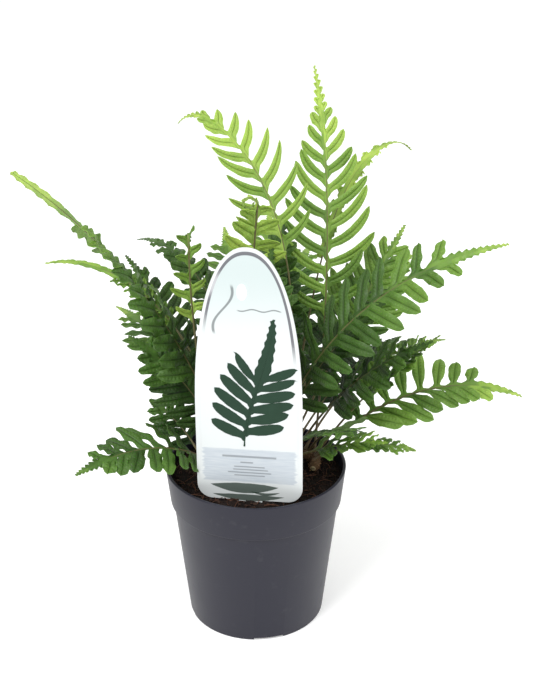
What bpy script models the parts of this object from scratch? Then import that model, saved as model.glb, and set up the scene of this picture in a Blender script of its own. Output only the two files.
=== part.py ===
"""A polypody fern growing in a round nursery pot, with its plant label.

The pot's axis is the Z axis and its foot stands on z = 0. The label faces -Y.
Sizes are in metres and angles in degrees. Heading 0 is +X and heading 90 is +Y;
a lean of 0 points straight up and a lean of 90 lies level.
"""

import math
from collections import namedtuple

import bpy
import numpy as np
from mathutils import Matrix, Vector
from mathutils.bvhtree import BVHTree

# ---- clearance ----
GAP = 0.0003  # kept between pieces that touch
SHARP_ANGLE = 40  # between faces, from which an edge is drawn sharp
CLEAR = 0.0001  # spare room tested on each face of a frond when it is placed

# ---- pot ----
POT_HEIGHT = 0.110
RIM_RADIUS = 0.060
BASE_RADIUS = 0.0458
POT_WALL = 0.0012
RIM_THICKNESS = 0.0020
RIM_DEPTH = 0.0024
COLLAR_HEIGHT = 0.025
COLLAR_STEP = 0.0018
FOOT_HEIGHT = 0.0020
FOOT_WIDTH = 0.0040
FLOOR_THICKNESS = 0.0014
NOTCH_WIDTH = 0.020
NOTCH_HEIGHT = 0.0018
NOTCH_COUNT = 4
NOTCH_HEADING = -79
DRAIN_COUNT = 8
DRAIN_DIAMETER = 0.008
DRAIN_CIRCLE = 0.032
DRAIN_SIDES = 8
POT_SIDES = 48

# ---- potting mix ----
SOIL_DROP = 0.0085  # from the rim down to the mix at the wall
SOIL_MOUND = 0.0020  # rise of the mix at the middle
SOIL_RINGS = 5

# ---- rhizomes: creeping stems that lie on the mix ----
RHIZOME_DIAMETER = 0.0070
RHIZOME_TIP_SHARE = 0.55  # thickness of the growing tip against the old end
RHIZOME_SIDES = 8
RHIZOME_RINGS = 12
RHIZOME_LOOK = 0.01  # share of its length to each side, over which its heading is taken
RHIZOMES = {
    "front": ((-0.034, -0.004), (-0.018, 0.001), (-0.002, -0.001), (0.016, -0.004)),
    "right": ((0.038, -0.002), (0.040, 0.010), (0.032, 0.018), (0.020, 0.021)),
    "back": ((-0.030, 0.018), (-0.014, 0.024), (0.004, 0.031), (0.026, 0.036)),
}

# ---- plant label ----
LABEL_WIDTH = 0.068
LABEL_HEIGHT = 0.168
LABEL_THICKNESS = 0.0006
LABEL_SHOULDER = 0.35  # share of the height where the sides start to close in
LABEL_FULLNESS = 2.2  # power of the arched top; 2 is a half ellipse
LABEL_CORNER = 0.010
CORNER_STEPS = 6
ARCH_STEPS = 24
LABEL_FOOT = (-0.0034, -0.0375)
LABEL_TURN = -9
LABEL_LEAN_BACK = 3
LABEL_LEAN_SIDE = -1
LABEL_LIFT = 0.0008  # the head's lower edge above the mix
STAKE_WIDTH = 0.016
STAKE_LENGTH = 0.055
STAKE_POINT = 0.012

# ---- fronds ----
STIPE_THICKNESS = 0.0018
RACHIS_THICKNESS = 0.0013
LEAF_THICKNESS = 0.0008
WING_WIDTH = 0.0006  # blade that runs along each side of the midrib between pinnae
TIP_WIDTH = 0.0008  # of the blunt end of the tail
STIPE_STEPS = 5
TAIL_STEPS = 3
CURLED_TAIL_STEPS = 10
STEPS = 160  # in which a frond's path is grown
BLADE_TAIL = 0.80  # share of the blade that carries pinnae; the rest is the tail
TAIL_WIDTH = 0.0090
CURL_FROM = 0.90  # share of the length from which a curled tip winds up
CROZIER_CURL = 90  # degrees of curl from which the tail takes more steps
PINNA_ANGLE = (62, 44)  # between pinna and rachis, at the blade's base and tail
PINNA_TIP_SHARE = 0.5
WIDEST_SHARE = 0.22  # of the blade, where the pinnae are longest
LOWEST_LOSS = 0.18  # by which the lowest pinnae are shorter than the longest
SIDE_LAG = 0.4  # of a pinna's step, by which the right side follows the left
FOOT_TILT = 0.6  # of a tilt, taken at the foot
SLIDE_SHARE = 0.02  # one step that a foot may slide along its rhizome to find room

# heading and sweep turn about +Z; lean is given at the foot and at the tip, and bend is
# the power with which it grows; roll and twist turn the blade about its own midrib; curl
# winds the tip; stipe is the bare share of the length; spread is the longest pinna.
Frond = namedtuple(
    "Frond",
    "name rhizome share heading lean bend sweep roll twist curl length stipe spread pairs",
)
FRONDS = (
    Frond("tall", "right", 0.40, 66, (14, 34), 2.0, 42, 0, 0, 0, 0.260, 0.36, 0.033, 11),
    Frond("arching", "right", 0.95, 133, (-4, 98), 2.5, 9, -25, 0, 40, 0.274, 0.50, 0.028, 9),
    Frond("right_back", "back", 0.93, 44, (11, 130), 4.0, 1, 0, 0, 0, 0.256, 0.50, 0.018, 9),
    Frond("broad", "front", 0.85, -15, (15, 76), 1.3, 4, 42, 0, 0, 0.231, 0.28, 0.033, 9),
    Frond("far_left", "front", 0.38, 170, (18, 56), 1.2, 4, -65, 140, 0, 0.240, 0.26, 0.031, 10),
    Frond("lower_right", "right", 0.20, 8, (43, 116), 1.3, -4, 38, 0, 0, 0.154, 0.22, 0.028, 8),
    Frond("lower_left", "front", 0.08, 224, (46, 108), 1.0, -4, -16, 0, 0, 0.106, 0.14, 0.031, 7),
    Frond("thin_left", "back", 0.20, 148, (15, 109), 1.5, 9, -30, 0, 0, 0.201, 0.45, 0.012, 8),
    Frond("crozier_left", "front", 0.20, 165, (13, -2), 1.0, 0, -20, 0, 300, 0.172, 0.58, 0.020, 5),
    Frond("crozier_mid", "back", 0.50, 107, (1, -12), 1.0, 8, -20, 0, 300, 0.200, 0.55, 0.027, 5),
    Frond("small_left", "back", 0.38, 143, (2, 112), 2.0, -8, 0, 0, 0, 0.186, 0.45, 0.016, 8),
    Frond("dark_mid", "back", 0.70, 66, (-5, 42), 1.5, -15, 0, 0, 0, 0.166, 0.38, 0.028, 8),
    Frond("pale_back", "back", 1.00, 28, (28, 37), 1.0, 7, 20, 0, 0, 0.165, 0.40, 0.026, 9),
    Frond("side_right", "right", 0.30, -12, (30, 50), 1.0, 0, 0, 0, 0, 0.122, 0.45, 0.018, 7),
    Frond("small_right", "right", 0.62, 36, (32, 100), 1.0, -6, 0, 0, 0, 0.138, 0.45, 0.012, 7),
    Frond("thin_low", "right", 0.06, -4, (56, 108), 1.0, 0, 0, 0, 0, 0.070, 0.50, 0.008, 5),
    Frond("left_mid", "front", 0.28, 180, (14, 64), 1.0, 0, -30, 0, 0, 0.108, 0.25, 0.026, 7),
    Frond("inner_right", "right", 0.76, -5, (25, 62), 1.0, 0, 25, 0, 0, 0.132, 0.30, 0.026, 7),
    Frond("inner_low", "right", 0.52, -25, (40, 75), 1.0, 0, 0, 0, 0, 0.095, 0.30, 0.022, 6),
    Frond("low_inner", "front", 0.97, -16, (56, 84), 1.0, 0, 0, 0, 0, 0.078, 0.35, 0.016, 6),
    Frond("low_left", "front", 0.00, 140, (35, 80), 1.0, 0, -20, 0, 0, 0.060, 0.25, 0.018, 5),
    Frond("left_back", "back", 0.00, 150, (25, 62), 1.0, 0, -20, 0, 0, 0.108, 0.28, 0.025, 7),
    Frond("high_left", "back", 0.17, 115, (12, 46), 1.0, 0, 0, 0, 0, 0.150, 0.38, 0.024, 7),
    Frond("back_a", "back", 0.45, 97, (26, 84), 1.2, 0, 0, 0, 0, 0.185, 0.32, 0.032, 9),
    Frond("back_b", "back", 0.60, 75, (35, 92), 1.2, 0, 0, 0, 0, 0.190, 0.30, 0.030, 9),
    Frond("back_c", "back", 0.82, 100, (32, 86), 1.2, 0, 0, 0, 0, 0.200, 0.32, 0.030, 9),
    Frond("back_d", "back", 0.88, 48, (32, 90), 1.2, 0, 0, 0, 0, 0.190, 0.30, 0.030, 9),
    Frond("back_e", "back", 0.07, 127, (38, 96), 1.2, 0, 0, 0, 0, 0.148, 0.28, 0.026, 8),
    Frond("back_f", "back", 0.33, 115, (50, 104), 1.0, 0, 0, 0, 0, 0.150, 0.25, 0.026, 8),
    Frond("back_g", "back", 0.77, 65, (52, 105), 1.0, 0, 0, 0, 0, 0.150, 0.25, 0.026, 8),
    Frond("low_back", "right", 0.85, 50, (48, 96), 1.0, 0, 0, 0, 0, 0.135, 0.25, 0.026, 8),
    Frond("upright", "front", 0.75, 60, (4, 22), 1.0, 0, 0, 0, 0, 0.150, 0.40, 0.026, 8),
    Frond("inner_back", "front", 0.91, 20, (10, 52), 1.0, 0, 15, 0, 0, 0.140, 0.28, 0.024, 8),
    Frond("upright_left", "front", 0.63, 180, (2, 20), 1.0, 0, 0, 0, 0, 0.140, 0.40, 0.022, 7),
)


def clear_scene():
    """Removes every object of the file."""
    for old in list(bpy.data.objects):
        bpy.data.objects.remove(old, do_unlink=True)


def plain_material(name, colour, roughness):
    """A Principled material of one colour."""
    material = bpy.data.materials.new(name)
    material.use_nodes = True
    shader = material.node_tree.nodes["Principled BSDF"]
    shader.inputs["Base Color"].default_value = (*colour, 1)
    shader.inputs["Roughness"].default_value = roughness
    material.diffuse_color = (*colour, 1)
    return material


def add_object(name, points, faces, material, smooth=False):
    """A mesh object from a list of points and faces."""
    mesh = bpy.data.meshes.new(name)
    mesh.from_pydata([tuple(map(float, point)) for point in points], [], faces)
    mesh.materials.append(material)
    if smooth:
        mesh.shade_smooth()
        mesh.set_sharp_from_angle(angle=math.radians(SHARP_ANGLE))
    piece = bpy.data.objects.new(name, mesh)
    bpy.context.scene.collection.objects.link(piece)
    return piece


def cut(piece, name, points, faces):
    """Cuts a closed shape out of the piece with a Boolean."""
    cutter = bpy.data.objects.new(name, bpy.data.meshes.new(name))
    cutter.data.from_pydata([tuple(map(float, point)) for point in points], [], faces)
    bpy.context.scene.collection.objects.link(cutter)
    cutter.hide_render = True
    cutter.display_type = "WIRE"
    modifier = piece.modifiers.new(name, "BOOLEAN")
    modifier.operation = "DIFFERENCE"
    modifier.solver = "EXACT"
    modifier.object = cutter


def turned(profile, sides):
    """Points and faces of a profile turned about Z, from the axis up the outside and back in."""
    points = [(0, 0, profile[0][1])]
    for radius, height in profile[1:-1]:
        for side in range(sides):
            angle = 2 * math.pi * side / sides
            points.append((radius * math.cos(angle), radius * math.sin(angle), height))
    points.append((0, 0, profile[-1][1]))
    rings = len(profile) - 2
    faces = []
    for side in range(sides):
        after = (side + 1) % sides
        faces.append((0, 1 + after, 1 + side))
        for ring in range(rings - 1):
            low = 1 + ring * sides
            high = low + sides
            faces.append((low + side, low + after, high + after, high + side))
        top = 1 + (rings - 1) * sides
        faces.append((len(points) - 1, top + side, top + after))
    return points, faces


def prism(outline, low, high):
    """Points and faces of a flat outline, counter-clockwise, extruded from low to high."""
    count = len(outline)
    points = [(x, y, low) for x, y in outline] + [(x, y, high) for x, y in outline]
    faces = [tuple(reversed(range(count))), tuple(range(count, 2 * count))]
    faces += [(i, (i + 1) % count, count + (i + 1) % count, count + i) for i in range(count)]
    return points, faces


def joined(shapes):
    """Several point and face lists as one."""
    points = []
    faces = []
    for more_points, more_faces in shapes:
        start = len(points)
        points += list(more_points)
        faces += [tuple(start + corner for corner in face) for face in more_faces]
    return points, faces


def body_radius(height):
    """Outer radius of the pot's tapered body, carried on up behind the collar."""
    return BASE_RADIUS + (RIM_RADIUS - COLLAR_STEP - BASE_RADIUS) * height / POT_HEIGHT


def collar_radius(height):
    return body_radius(height) + COLLAR_STEP


COLLAR_LOW = POT_HEIGHT - COLLAR_HEIGHT
SHELF = COLLAR_LOW + POT_WALL
FLOOR = FOOT_HEIGHT + FLOOR_THICKNESS


def make_pot(material):
    """The thin-walled pot with its collar, foot ring, notches and drain holes."""
    lip = POT_HEIGHT - RIM_DEPTH
    profile = [
        (0, FOOT_HEIGHT),
        (BASE_RADIUS - FOOT_WIDTH, FOOT_HEIGHT),
        (BASE_RADIUS - FOOT_WIDTH, 0),
        (BASE_RADIUS, 0),
        (body_radius(COLLAR_LOW), COLLAR_LOW),
        (collar_radius(COLLAR_LOW), COLLAR_LOW),
        (collar_radius(POT_HEIGHT), POT_HEIGHT),
        (collar_radius(POT_HEIGHT) - RIM_THICKNESS, POT_HEIGHT),
        (collar_radius(lip) - RIM_THICKNESS, lip),
        (collar_radius(lip) - POT_WALL, lip - (RIM_THICKNESS - POT_WALL)),
        (collar_radius(SHELF) - POT_WALL, SHELF),
        (body_radius(SHELF) - POT_WALL, SHELF),
        (body_radius(FLOOR) - POT_WALL, FLOOR),
        (0, FLOOR),
    ]
    pot = add_object("pot", *turned(profile, POT_SIDES), material, smooth=True)
    shapes = []
    reach = BASE_RADIUS + POT_WALL
    for number in range(NOTCH_COUNT):
        heading = math.radians(NOTCH_HEADING + 360 * number / NOTCH_COUNT)
        start = BASE_RADIUS - FOOT_WIDTH - POT_WALL
        corners = ((start, -1), (reach + POT_WALL, -1), (reach + POT_WALL, 1), (start, 1))
        outline = []
        for out, side in corners:
            across = side * NOTCH_WIDTH / 2
            outline.append((
                out * math.cos(heading) - across * math.sin(heading),
                out * math.sin(heading) + across * math.cos(heading),
            ))
        shapes.append(prism(outline, -NOTCH_HEIGHT, NOTCH_HEIGHT))
    for number in range(DRAIN_COUNT):
        heading = math.radians(360 * (number + 0.5) / DRAIN_COUNT)
        outline = []
        for side in range(DRAIN_SIDES):
            angle = 2 * math.pi * side / DRAIN_SIDES
            outline.append((
                DRAIN_CIRCLE * math.cos(heading) + DRAIN_DIAMETER / 2 * math.cos(angle),
                DRAIN_CIRCLE * math.sin(heading) + DRAIN_DIAMETER / 2 * math.sin(angle),
            ))
        shapes.append(prism(outline, FOOT_HEIGHT - POT_WALL, FLOOR + POT_WALL))
    cut(pot, "pot_openings", *joined(shapes))


def soil_height(x, y):
    """Height of the potting mix at a place in the pot."""
    share = min(1.0, math.hypot(x, y) / RIM_RADIUS)
    return POT_HEIGHT - SOIL_DROP + SOIL_MOUND * (1 - share * share)


def label_matrix():
    """Places the label, whose own X is its width, Y its thickness and Z its height."""
    x, y = LABEL_FOOT
    foot = Vector((x, y, soil_height(x, y) + LABEL_LIFT))
    turn = Matrix.Rotation(math.radians(LABEL_TURN), 4, "Z")
    back = Matrix.Rotation(math.radians(-LABEL_LEAN_BACK), 4, "X")
    side = Matrix.Rotation(math.radians(LABEL_LEAN_SIDE), 4, "Y")
    return Matrix.Translation(foot) @ turn @ back @ side


def on_label(outline, thickness):
    """A flat outline in the label's own width and height, as a sheet of this thickness."""
    points, faces = prism(outline, -thickness / 2, thickness / 2)
    place = label_matrix()
    return [place @ Vector((x, -z, y)) for x, y, z in points], faces


def make_soil(material):
    """The potting mix, filling the pot, with the slot that the label's stake stands in."""
    top = POT_HEIGHT - SOIL_DROP
    profile = [
        (0, FLOOR + GAP),
        (body_radius(FLOOR) - POT_WALL - GAP, FLOOR + GAP),
        (body_radius(SHELF) - POT_WALL - GAP, SHELF + GAP),
        (collar_radius(SHELF) - POT_WALL - GAP, SHELF + GAP),
    ]
    wall = collar_radius(top) - POT_WALL - GAP
    for ring in range(SOIL_RINGS):
        radius = wall * (1 - ring / SOIL_RINGS)
        profile.append((radius, soil_height(radius, 0)))
    profile.append((0, soil_height(0, 0)))
    soil = add_object("potting_mix", *turned(profile, POT_SIDES), material)
    half = STAKE_WIDTH / 2 + GAP
    slot = [(-half, -STAKE_LENGTH - GAP), (half, -STAKE_LENGTH - GAP), (half, half), (-half, half)]
    cut(soil, "stake_slot", *on_label(slot, LABEL_THICKNESS + 2 * GAP))


def label_outline():
    """Outline of the head, arched at the top, and of the pointed stake below it."""
    half = LABEL_WIDTH / 2
    shoulder = LABEL_SHOULDER * LABEL_HEIGHT
    point = STAKE_LENGTH - STAKE_POINT
    outline = [
        (-STAKE_WIDTH / 2, 0),
        (-STAKE_WIDTH / 2, -point),
        (0, -STAKE_LENGTH),
        (STAKE_WIDTH / 2, -point),
        (STAKE_WIDTH / 2, 0),
    ]
    corner = [math.radians(90 * step / CORNER_STEPS) for step in range(CORNER_STEPS + 1)]
    for angle in corner:
        across = half - LABEL_CORNER + LABEL_CORNER * math.sin(angle)
        outline.append((across, LABEL_CORNER - LABEL_CORNER * math.cos(angle)))
    for step in range(ARCH_STEPS + 1):
        angle = math.radians(180 * step / ARCH_STEPS)
        power = 2 / LABEL_FULLNESS
        across = math.copysign(abs(math.cos(angle)) ** power, math.cos(angle))
        outline.append((
            half * across,
            shoulder + (LABEL_HEIGHT - shoulder) * math.sin(angle) ** power,
        ))
    for angle in reversed(corner):
        across = half - LABEL_CORNER + LABEL_CORNER * math.sin(angle)
        outline.append((-across, LABEL_CORNER - LABEL_CORNER * math.cos(angle)))
    return outline


def make_label(material):
    add_object("plant_label", *on_label(label_outline(), LABEL_THICKNESS), material)


def rhizome_place(name, share):
    """A place on a rhizome's centre line, a smooth curve through its own points."""
    route = [Vector(point) for point in RHIZOMES[name]]
    route = [2 * route[0] - route[1], *route, 2 * route[-1] - route[-2]]
    spans = len(route) - 3
    span = min(int(share * spans), spans - 1)
    t = share * spans - span
    before, start, end, after = route[span:span + 4]
    flat = 0.5 * (
        2 * start
        + (end - before) * t
        + (2 * before - 5 * start + 4 * end - after) * t ** 2
        + (3 * start - before - 3 * end + after) * t ** 3
    )
    height = soil_height(*flat) + GAP + RHIZOME_DIAMETER / 2
    return Vector((flat.x, flat.y, height))


def rhizome_radius(share):
    """Thickest at its old end and blunt at its growing tip."""
    return RHIZOME_DIAMETER / 2 * (1 - (1 - RHIZOME_TIP_SHARE) * share ** 3)


def make_rhizome(name, material):
    sides = RHIZOME_SIDES
    rings = RHIZOME_RINGS
    points = []
    faces = []
    for ring in range(rings + 1):
        share = ring / rings
        ahead = rhizome_place(name, min(1, share + RHIZOME_LOOK))
        ahead -= rhizome_place(name, max(0, share - RHIZOME_LOOK))
        across = Vector((ahead.y, -ahead.x, 0)).normalized()
        for side in range(sides):
            angle = 2 * math.pi * (side + 0.5) / sides
            out = across * math.cos(angle) + Vector((0, 0, math.sin(angle)))
            points.append(rhizome_place(name, share) + rhizome_radius(share) * out)
    for ring in range(rings):
        for side in range(sides):
            after = (side + 1) % sides
            low = ring * sides
            high = low + sides
            faces.append((low + side, high + side, high + after, low + after))
    faces.append(tuple(range(sides)))
    faces.append(tuple(reversed(range(rings * sides, (rings + 1) * sides))))
    return add_object(f"rhizome_{name}", points, faces, material, smooth=True)


def frond_foot(frond):
    """Where a stipe starts, on top of its rhizome."""
    place = rhizome_place(frond.rhizome, frond.share)
    tilted = STIPE_THICKNESS * math.sin(math.radians(frond.lean[0]))
    rise = rhizome_radius(frond.share) + GAP + abs(tilted)
    return np.array((place.x, place.y, place.z + rise))


def direction(frond, share):
    """Unit vectors along the frond, across it to its right, and out of its upper face."""
    wound = np.clip((share - CURL_FROM) / (1 - CURL_FROM), 0, 1)
    lean = frond.lean[0] + (frond.lean[1] - frond.lean[0]) * share ** frond.bend
    lean = np.radians(lean + frond.curl * wound)
    heading = np.radians(frond.heading + frond.sweep * share)
    roll = np.radians(frond.roll + frond.twist * share)
    level = 0 * share
    along = np.stack(
        [np.sin(lean) * np.cos(heading), np.sin(lean) * np.sin(heading), np.cos(lean)], -1
    )
    right = np.stack([np.sin(heading), -np.cos(heading), level], -1)
    down = np.cross(along, right)
    across = np.cos(roll)[:, None] * right + np.sin(roll)[:, None] * down
    return along, across, np.cross(across, along)


def growth_curve(frond):
    """Shares of the length and the places there, grown step by step from the foot."""
    middle = (np.arange(STEPS) + 0.5) / STEPS
    grown = np.cumsum(direction(frond, middle)[0], axis=0) * frond.length / STEPS
    places = np.vstack([np.zeros(3), grown]) + frond_foot(frond)
    return np.linspace(0, 1, STEPS + 1), places


def pinna_share(v):
    """A pinna's length at this share of the blade, as a share of the longest one."""
    if v < WIDEST_SHARE:
        return 1 - LOWEST_LOSS * (1 - v / WIDEST_SHARE)
    return 1 - ((v - WIDEST_SHARE) / (1 - WIDEST_SHARE)) ** 1.5


def frond_skin(frond):
    """The frond as one sheet: points, upward normals, thicknesses and faces."""
    shares, places = growth_curve(frond)

    def stations(at):
        at = np.asarray(at, float)
        place = np.stack([np.interp(at, shares, places[:, axis]) for axis in range(3)], -1)
        return (place, *direction(frond, at))

    blade = 1 - frond.stipe
    ends = [frond.stipe + blade * BLADE_TAIL * k / frond.pairs for k in range(frond.pairs + 1)]
    lag = SIDE_LAG * blade * BLADE_TAIL / frond.pairs
    tail_steps = CURLED_TAIL_STEPS if frond.curl > CROZIER_CURL else TAIL_STEPS
    tail = [ends[-1] + (1 - ends[-1]) * (k + 1) / tail_steps for k in range(tail_steps)]
    stipe = [frond.stipe * k / STIPE_STEPS for k in range(STIPE_STEPS)]
    left = stipe + ends + tail
    right = stipe + [end + lag for end in ends] + tail
    half = [STIPE_THICKNESS / 2] * (STIPE_STEPS + 1)
    half += [RACHIS_THICKNESS / 2 + WING_WIDTH] * frond.pairs
    half += [(TIP_WIDTH + TAIL_WIDTH * (1 - (k + 1) / tail_steps)) / 2 for k in range(tail_steps)]
    half = np.array(half)
    thick = [STIPE_THICKNESS] * (STIPE_STEPS + 1) + [RACHIS_THICKNESS] * frond.pairs
    thick += [LEAF_THICKNESS] * tail_steps
    points = []
    normals = []
    for side, rail in ((-1, left), (1, right)):
        place, _, across, up = stations(rail)
        points += list(place + side * half[:, None] * across)
        normals += list(up)
    thick *= 2
    count = len(left)
    faces = [(i, count + i, count + i + 1, i + 1) for i in range(count - 1)]
    for side, rail in ((-1, left), (1, right)):
        start = 0 if side < 0 else count
        for k in range(frond.pairs):
            low = start + STIPE_STEPS + k
            v = BLADE_TAIL * (k + 0.5) / frond.pairs
            angle = math.radians(PINNA_ANGLE[0] + (PINNA_ANGLE[1] - PINNA_ANGLE[0]) * v)
            _, along, across, up = stations([(rail[STIPE_STEPS + k] + rail[STIPE_STEPS + k + 1]) / 2])
            reach = frond.spread * pinna_share(v)
            out = reach * (math.cos(angle) * along[0] + side * math.sin(angle) * across[0])
            middle = (points[low] + points[low + 1]) / 2
            edge = (points[low + 1] - points[low]) / 2 * PINNA_TIP_SHARE
            first = len(points)
            points += [middle + out - edge, middle + out + edge]
            normals += [up[0], up[0]]
            thick += [LEAF_THICKNESS] * 2
            corners = (low, low + 1, first + 1, first)
            faces.append(corners if side < 0 else tuple(reversed(corners)))
    return np.array(points), np.array(normals), np.array(thick), faces


def both_skins(points, normals, thick, faces):
    """Closes a sheet into a solid: an upper skin, a lower skin and the rim between them."""
    rise = normals * thick[:, None] / 2
    count = len(points)
    used = {}
    for face in faces:
        for a, b in zip(face, face[1:] + face[:1]):
            used[(a, b)] = True
    solid = list(faces) + [tuple(count + corner for corner in reversed(face)) for face in faces]
    for a, b in used:
        if (b, a) not in used:
            solid.append((b, a, count + a, count + b))
    return np.vstack([points + rise, points - rise]), solid


def settlings():
    """Turns and tilts in degrees and slides along the rhizome, the least disturbing first."""
    moves = [
        (turn, tilt, slide)
        for turn in range(-180, 181, 2)
        for tilt in range(-12, 13, 2)
        for slide in (0, -1, 1, -2, 2)
    ]
    return sorted(moves, key=lambda move: (abs(move[0]) + 1.5 * abs(move[1]) + 30 * abs(move[2]), move))


def settled(frond, turn, tilt, slide):
    lean = (frond.lean[0] + FOOT_TILT * tilt, frond.lean[1] + tilt)
    share = min(1, max(0, frond.share + SLIDE_SHARE * slide))
    return frond._replace(heading=frond.heading + turn, lean=lean, share=share)


def make_frond(frond, standing, material):
    """Grows a frond where it clears everything that already stands."""
    for move in settlings():
        grown = settled(frond, *move)
        points, normals, thick, faces = frond_skin(grown)
        tested = both_skins(points, normals, thick + 2 * CLEAR, faces)
        tree = BVHTree.FromPolygons(*[list(map(tuple, part)) for part in tested])
        if not any(tree.overlap(other) for other in standing):
            solid_points, solid_faces = both_skins(points, normals, thick, faces)
            standing.append(BVHTree.FromPolygons(list(map(tuple, solid_points)), solid_faces))
            return add_object(f"frond_{frond.name}", solid_points, solid_faces, material)
    raise ValueError(f"no room for frond {frond.name}")


def tree_of(piece):
    mesh = piece.data
    return BVHTree.FromPolygons(
        [tuple(vertex.co) for vertex in mesh.vertices],
        [tuple(polygon.vertices) for polygon in mesh.polygons],
    )


def main():
    clear_scene()
    black = plain_material("pot_plastic", (0.055, 0.055, 0.075), 0.45)
    mix = plain_material("potting_mix", (0.030, 0.018, 0.014), 0.95)
    bark = plain_material("rhizome_skin", (0.16, 0.10, 0.05), 0.8)
    card = plain_material("label_card", (0.85, 0.88, 0.88), 0.35)
    leaf = plain_material("leaf", (0.12, 0.26, 0.05), 0.5)
    make_pot(black)
    make_soil(mix)
    make_label(card)
    for name in RHIZOMES:
        make_rhizome(name, bark)
    standing = [tree_of(piece) for piece in bpy.data.objects if not piece.hide_render]
    for frond in FRONDS:
        make_frond(frond, standing, leaf)


main()
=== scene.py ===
"""A polypody fern growing in a round nursery pot, with its plant label.

Everything is in metres in the part's own frame: the pot's axis is Z, its foot stands on
z = 0 and the label faces -Y. Heading 0 is +X and heading 90 is +Y; a lean of 0 points
straight up and a lean of 90 lies level. Angles are in degrees unless a line says otherwise.
"""

import math
from collections import namedtuple

import bpy
import numpy as np
from bpy.props import (
    FloatProperty,
    FloatVectorProperty,
    IntProperty,
    PointerProperty,
)
from mathutils import Matrix, Vector, noise


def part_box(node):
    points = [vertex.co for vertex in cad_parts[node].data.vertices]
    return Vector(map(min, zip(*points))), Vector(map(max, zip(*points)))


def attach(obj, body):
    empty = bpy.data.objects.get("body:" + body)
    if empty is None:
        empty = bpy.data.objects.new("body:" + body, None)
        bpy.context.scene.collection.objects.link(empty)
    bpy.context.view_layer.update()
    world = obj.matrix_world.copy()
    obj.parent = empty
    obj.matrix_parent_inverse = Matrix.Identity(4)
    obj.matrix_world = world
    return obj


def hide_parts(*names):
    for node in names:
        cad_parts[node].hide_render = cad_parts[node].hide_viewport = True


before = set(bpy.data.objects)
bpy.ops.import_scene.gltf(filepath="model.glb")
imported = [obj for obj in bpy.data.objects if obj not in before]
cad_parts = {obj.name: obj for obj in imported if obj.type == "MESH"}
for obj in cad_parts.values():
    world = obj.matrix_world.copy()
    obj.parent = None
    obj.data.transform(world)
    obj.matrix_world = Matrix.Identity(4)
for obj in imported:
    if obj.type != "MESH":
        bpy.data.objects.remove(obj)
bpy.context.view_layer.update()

bl_info = {
    "name": "Potted fern",
    "version": (1, 0, 0),
    "blender": (4, 5, 0),
    "location": "3D View > Sidebar > Fern",
    "description": "Builds a polypody fern in its nursery pot, piece by piece",
    "category": "Add Mesh",
}

# ---- the part's own sizes ----
POT_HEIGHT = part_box("pot")[1].z
RIM_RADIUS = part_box("pot")[1].x
BASE_RADIUS = 0.0458
POT_WALL = 0.0012
RIM_THICKNESS = 0.0020
RIM_DEPTH = 0.0024
COLLAR_HEIGHT = 0.025
COLLAR_STEP = 0.0018
FOOT_HEIGHT = 0.0020
FOOT_WIDTH = 0.0040
FLOOR_THICKNESS = 0.0014
NOTCH_WIDTH = 0.020
NOTCH_HEIGHT = 0.0018
NOTCH_COUNT = 4
NOTCH_HEADING = -79
DRAIN_COUNT = 8
DRAIN_DIAMETER = 0.008
DRAIN_CIRCLE = 0.032
GAP = 0.0003
SOIL_DROP = 0.0085
SOIL_MOUND = 0.0020
RHIZOME_DIAMETER = 0.0070
RHIZOME_TIP_SHARE = 0.55
RHIZOMES = {
    "front": ((-0.034, -0.004), (-0.018, 0.001), (-0.002, -0.001), (0.016, -0.004)),
    "right": ((0.038, -0.002), (0.040, 0.010), (0.032, 0.018), (0.020, 0.021)),
    "back": ((-0.030, 0.018), (-0.014, 0.024), (0.004, 0.031), (0.026, 0.036)),
}
LABEL_WIDTH = 0.068
LABEL_HEIGHT = 0.168
LABEL_THICKNESS = 0.0006
LABEL_SHOULDER = 0.35
LABEL_FULLNESS = 2.2
LABEL_CORNER = 0.010
LABEL_FOOT = (-0.0034, -0.0375)
LABEL_TURN = -9
LABEL_LEAN_BACK = 3
LABEL_LEAN_SIDE = -1
LABEL_LIFT = 0.0008
STAKE_WIDTH = 0.016
STAKE_LENGTH = 0.055
STAKE_POINT = 0.012
STIPE_THICKNESS = 0.0018
CURL_FROM = 0.90
BLADE_TAIL = 0.80
SIDE_LAG = 0.4
STEPS = 160

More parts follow.
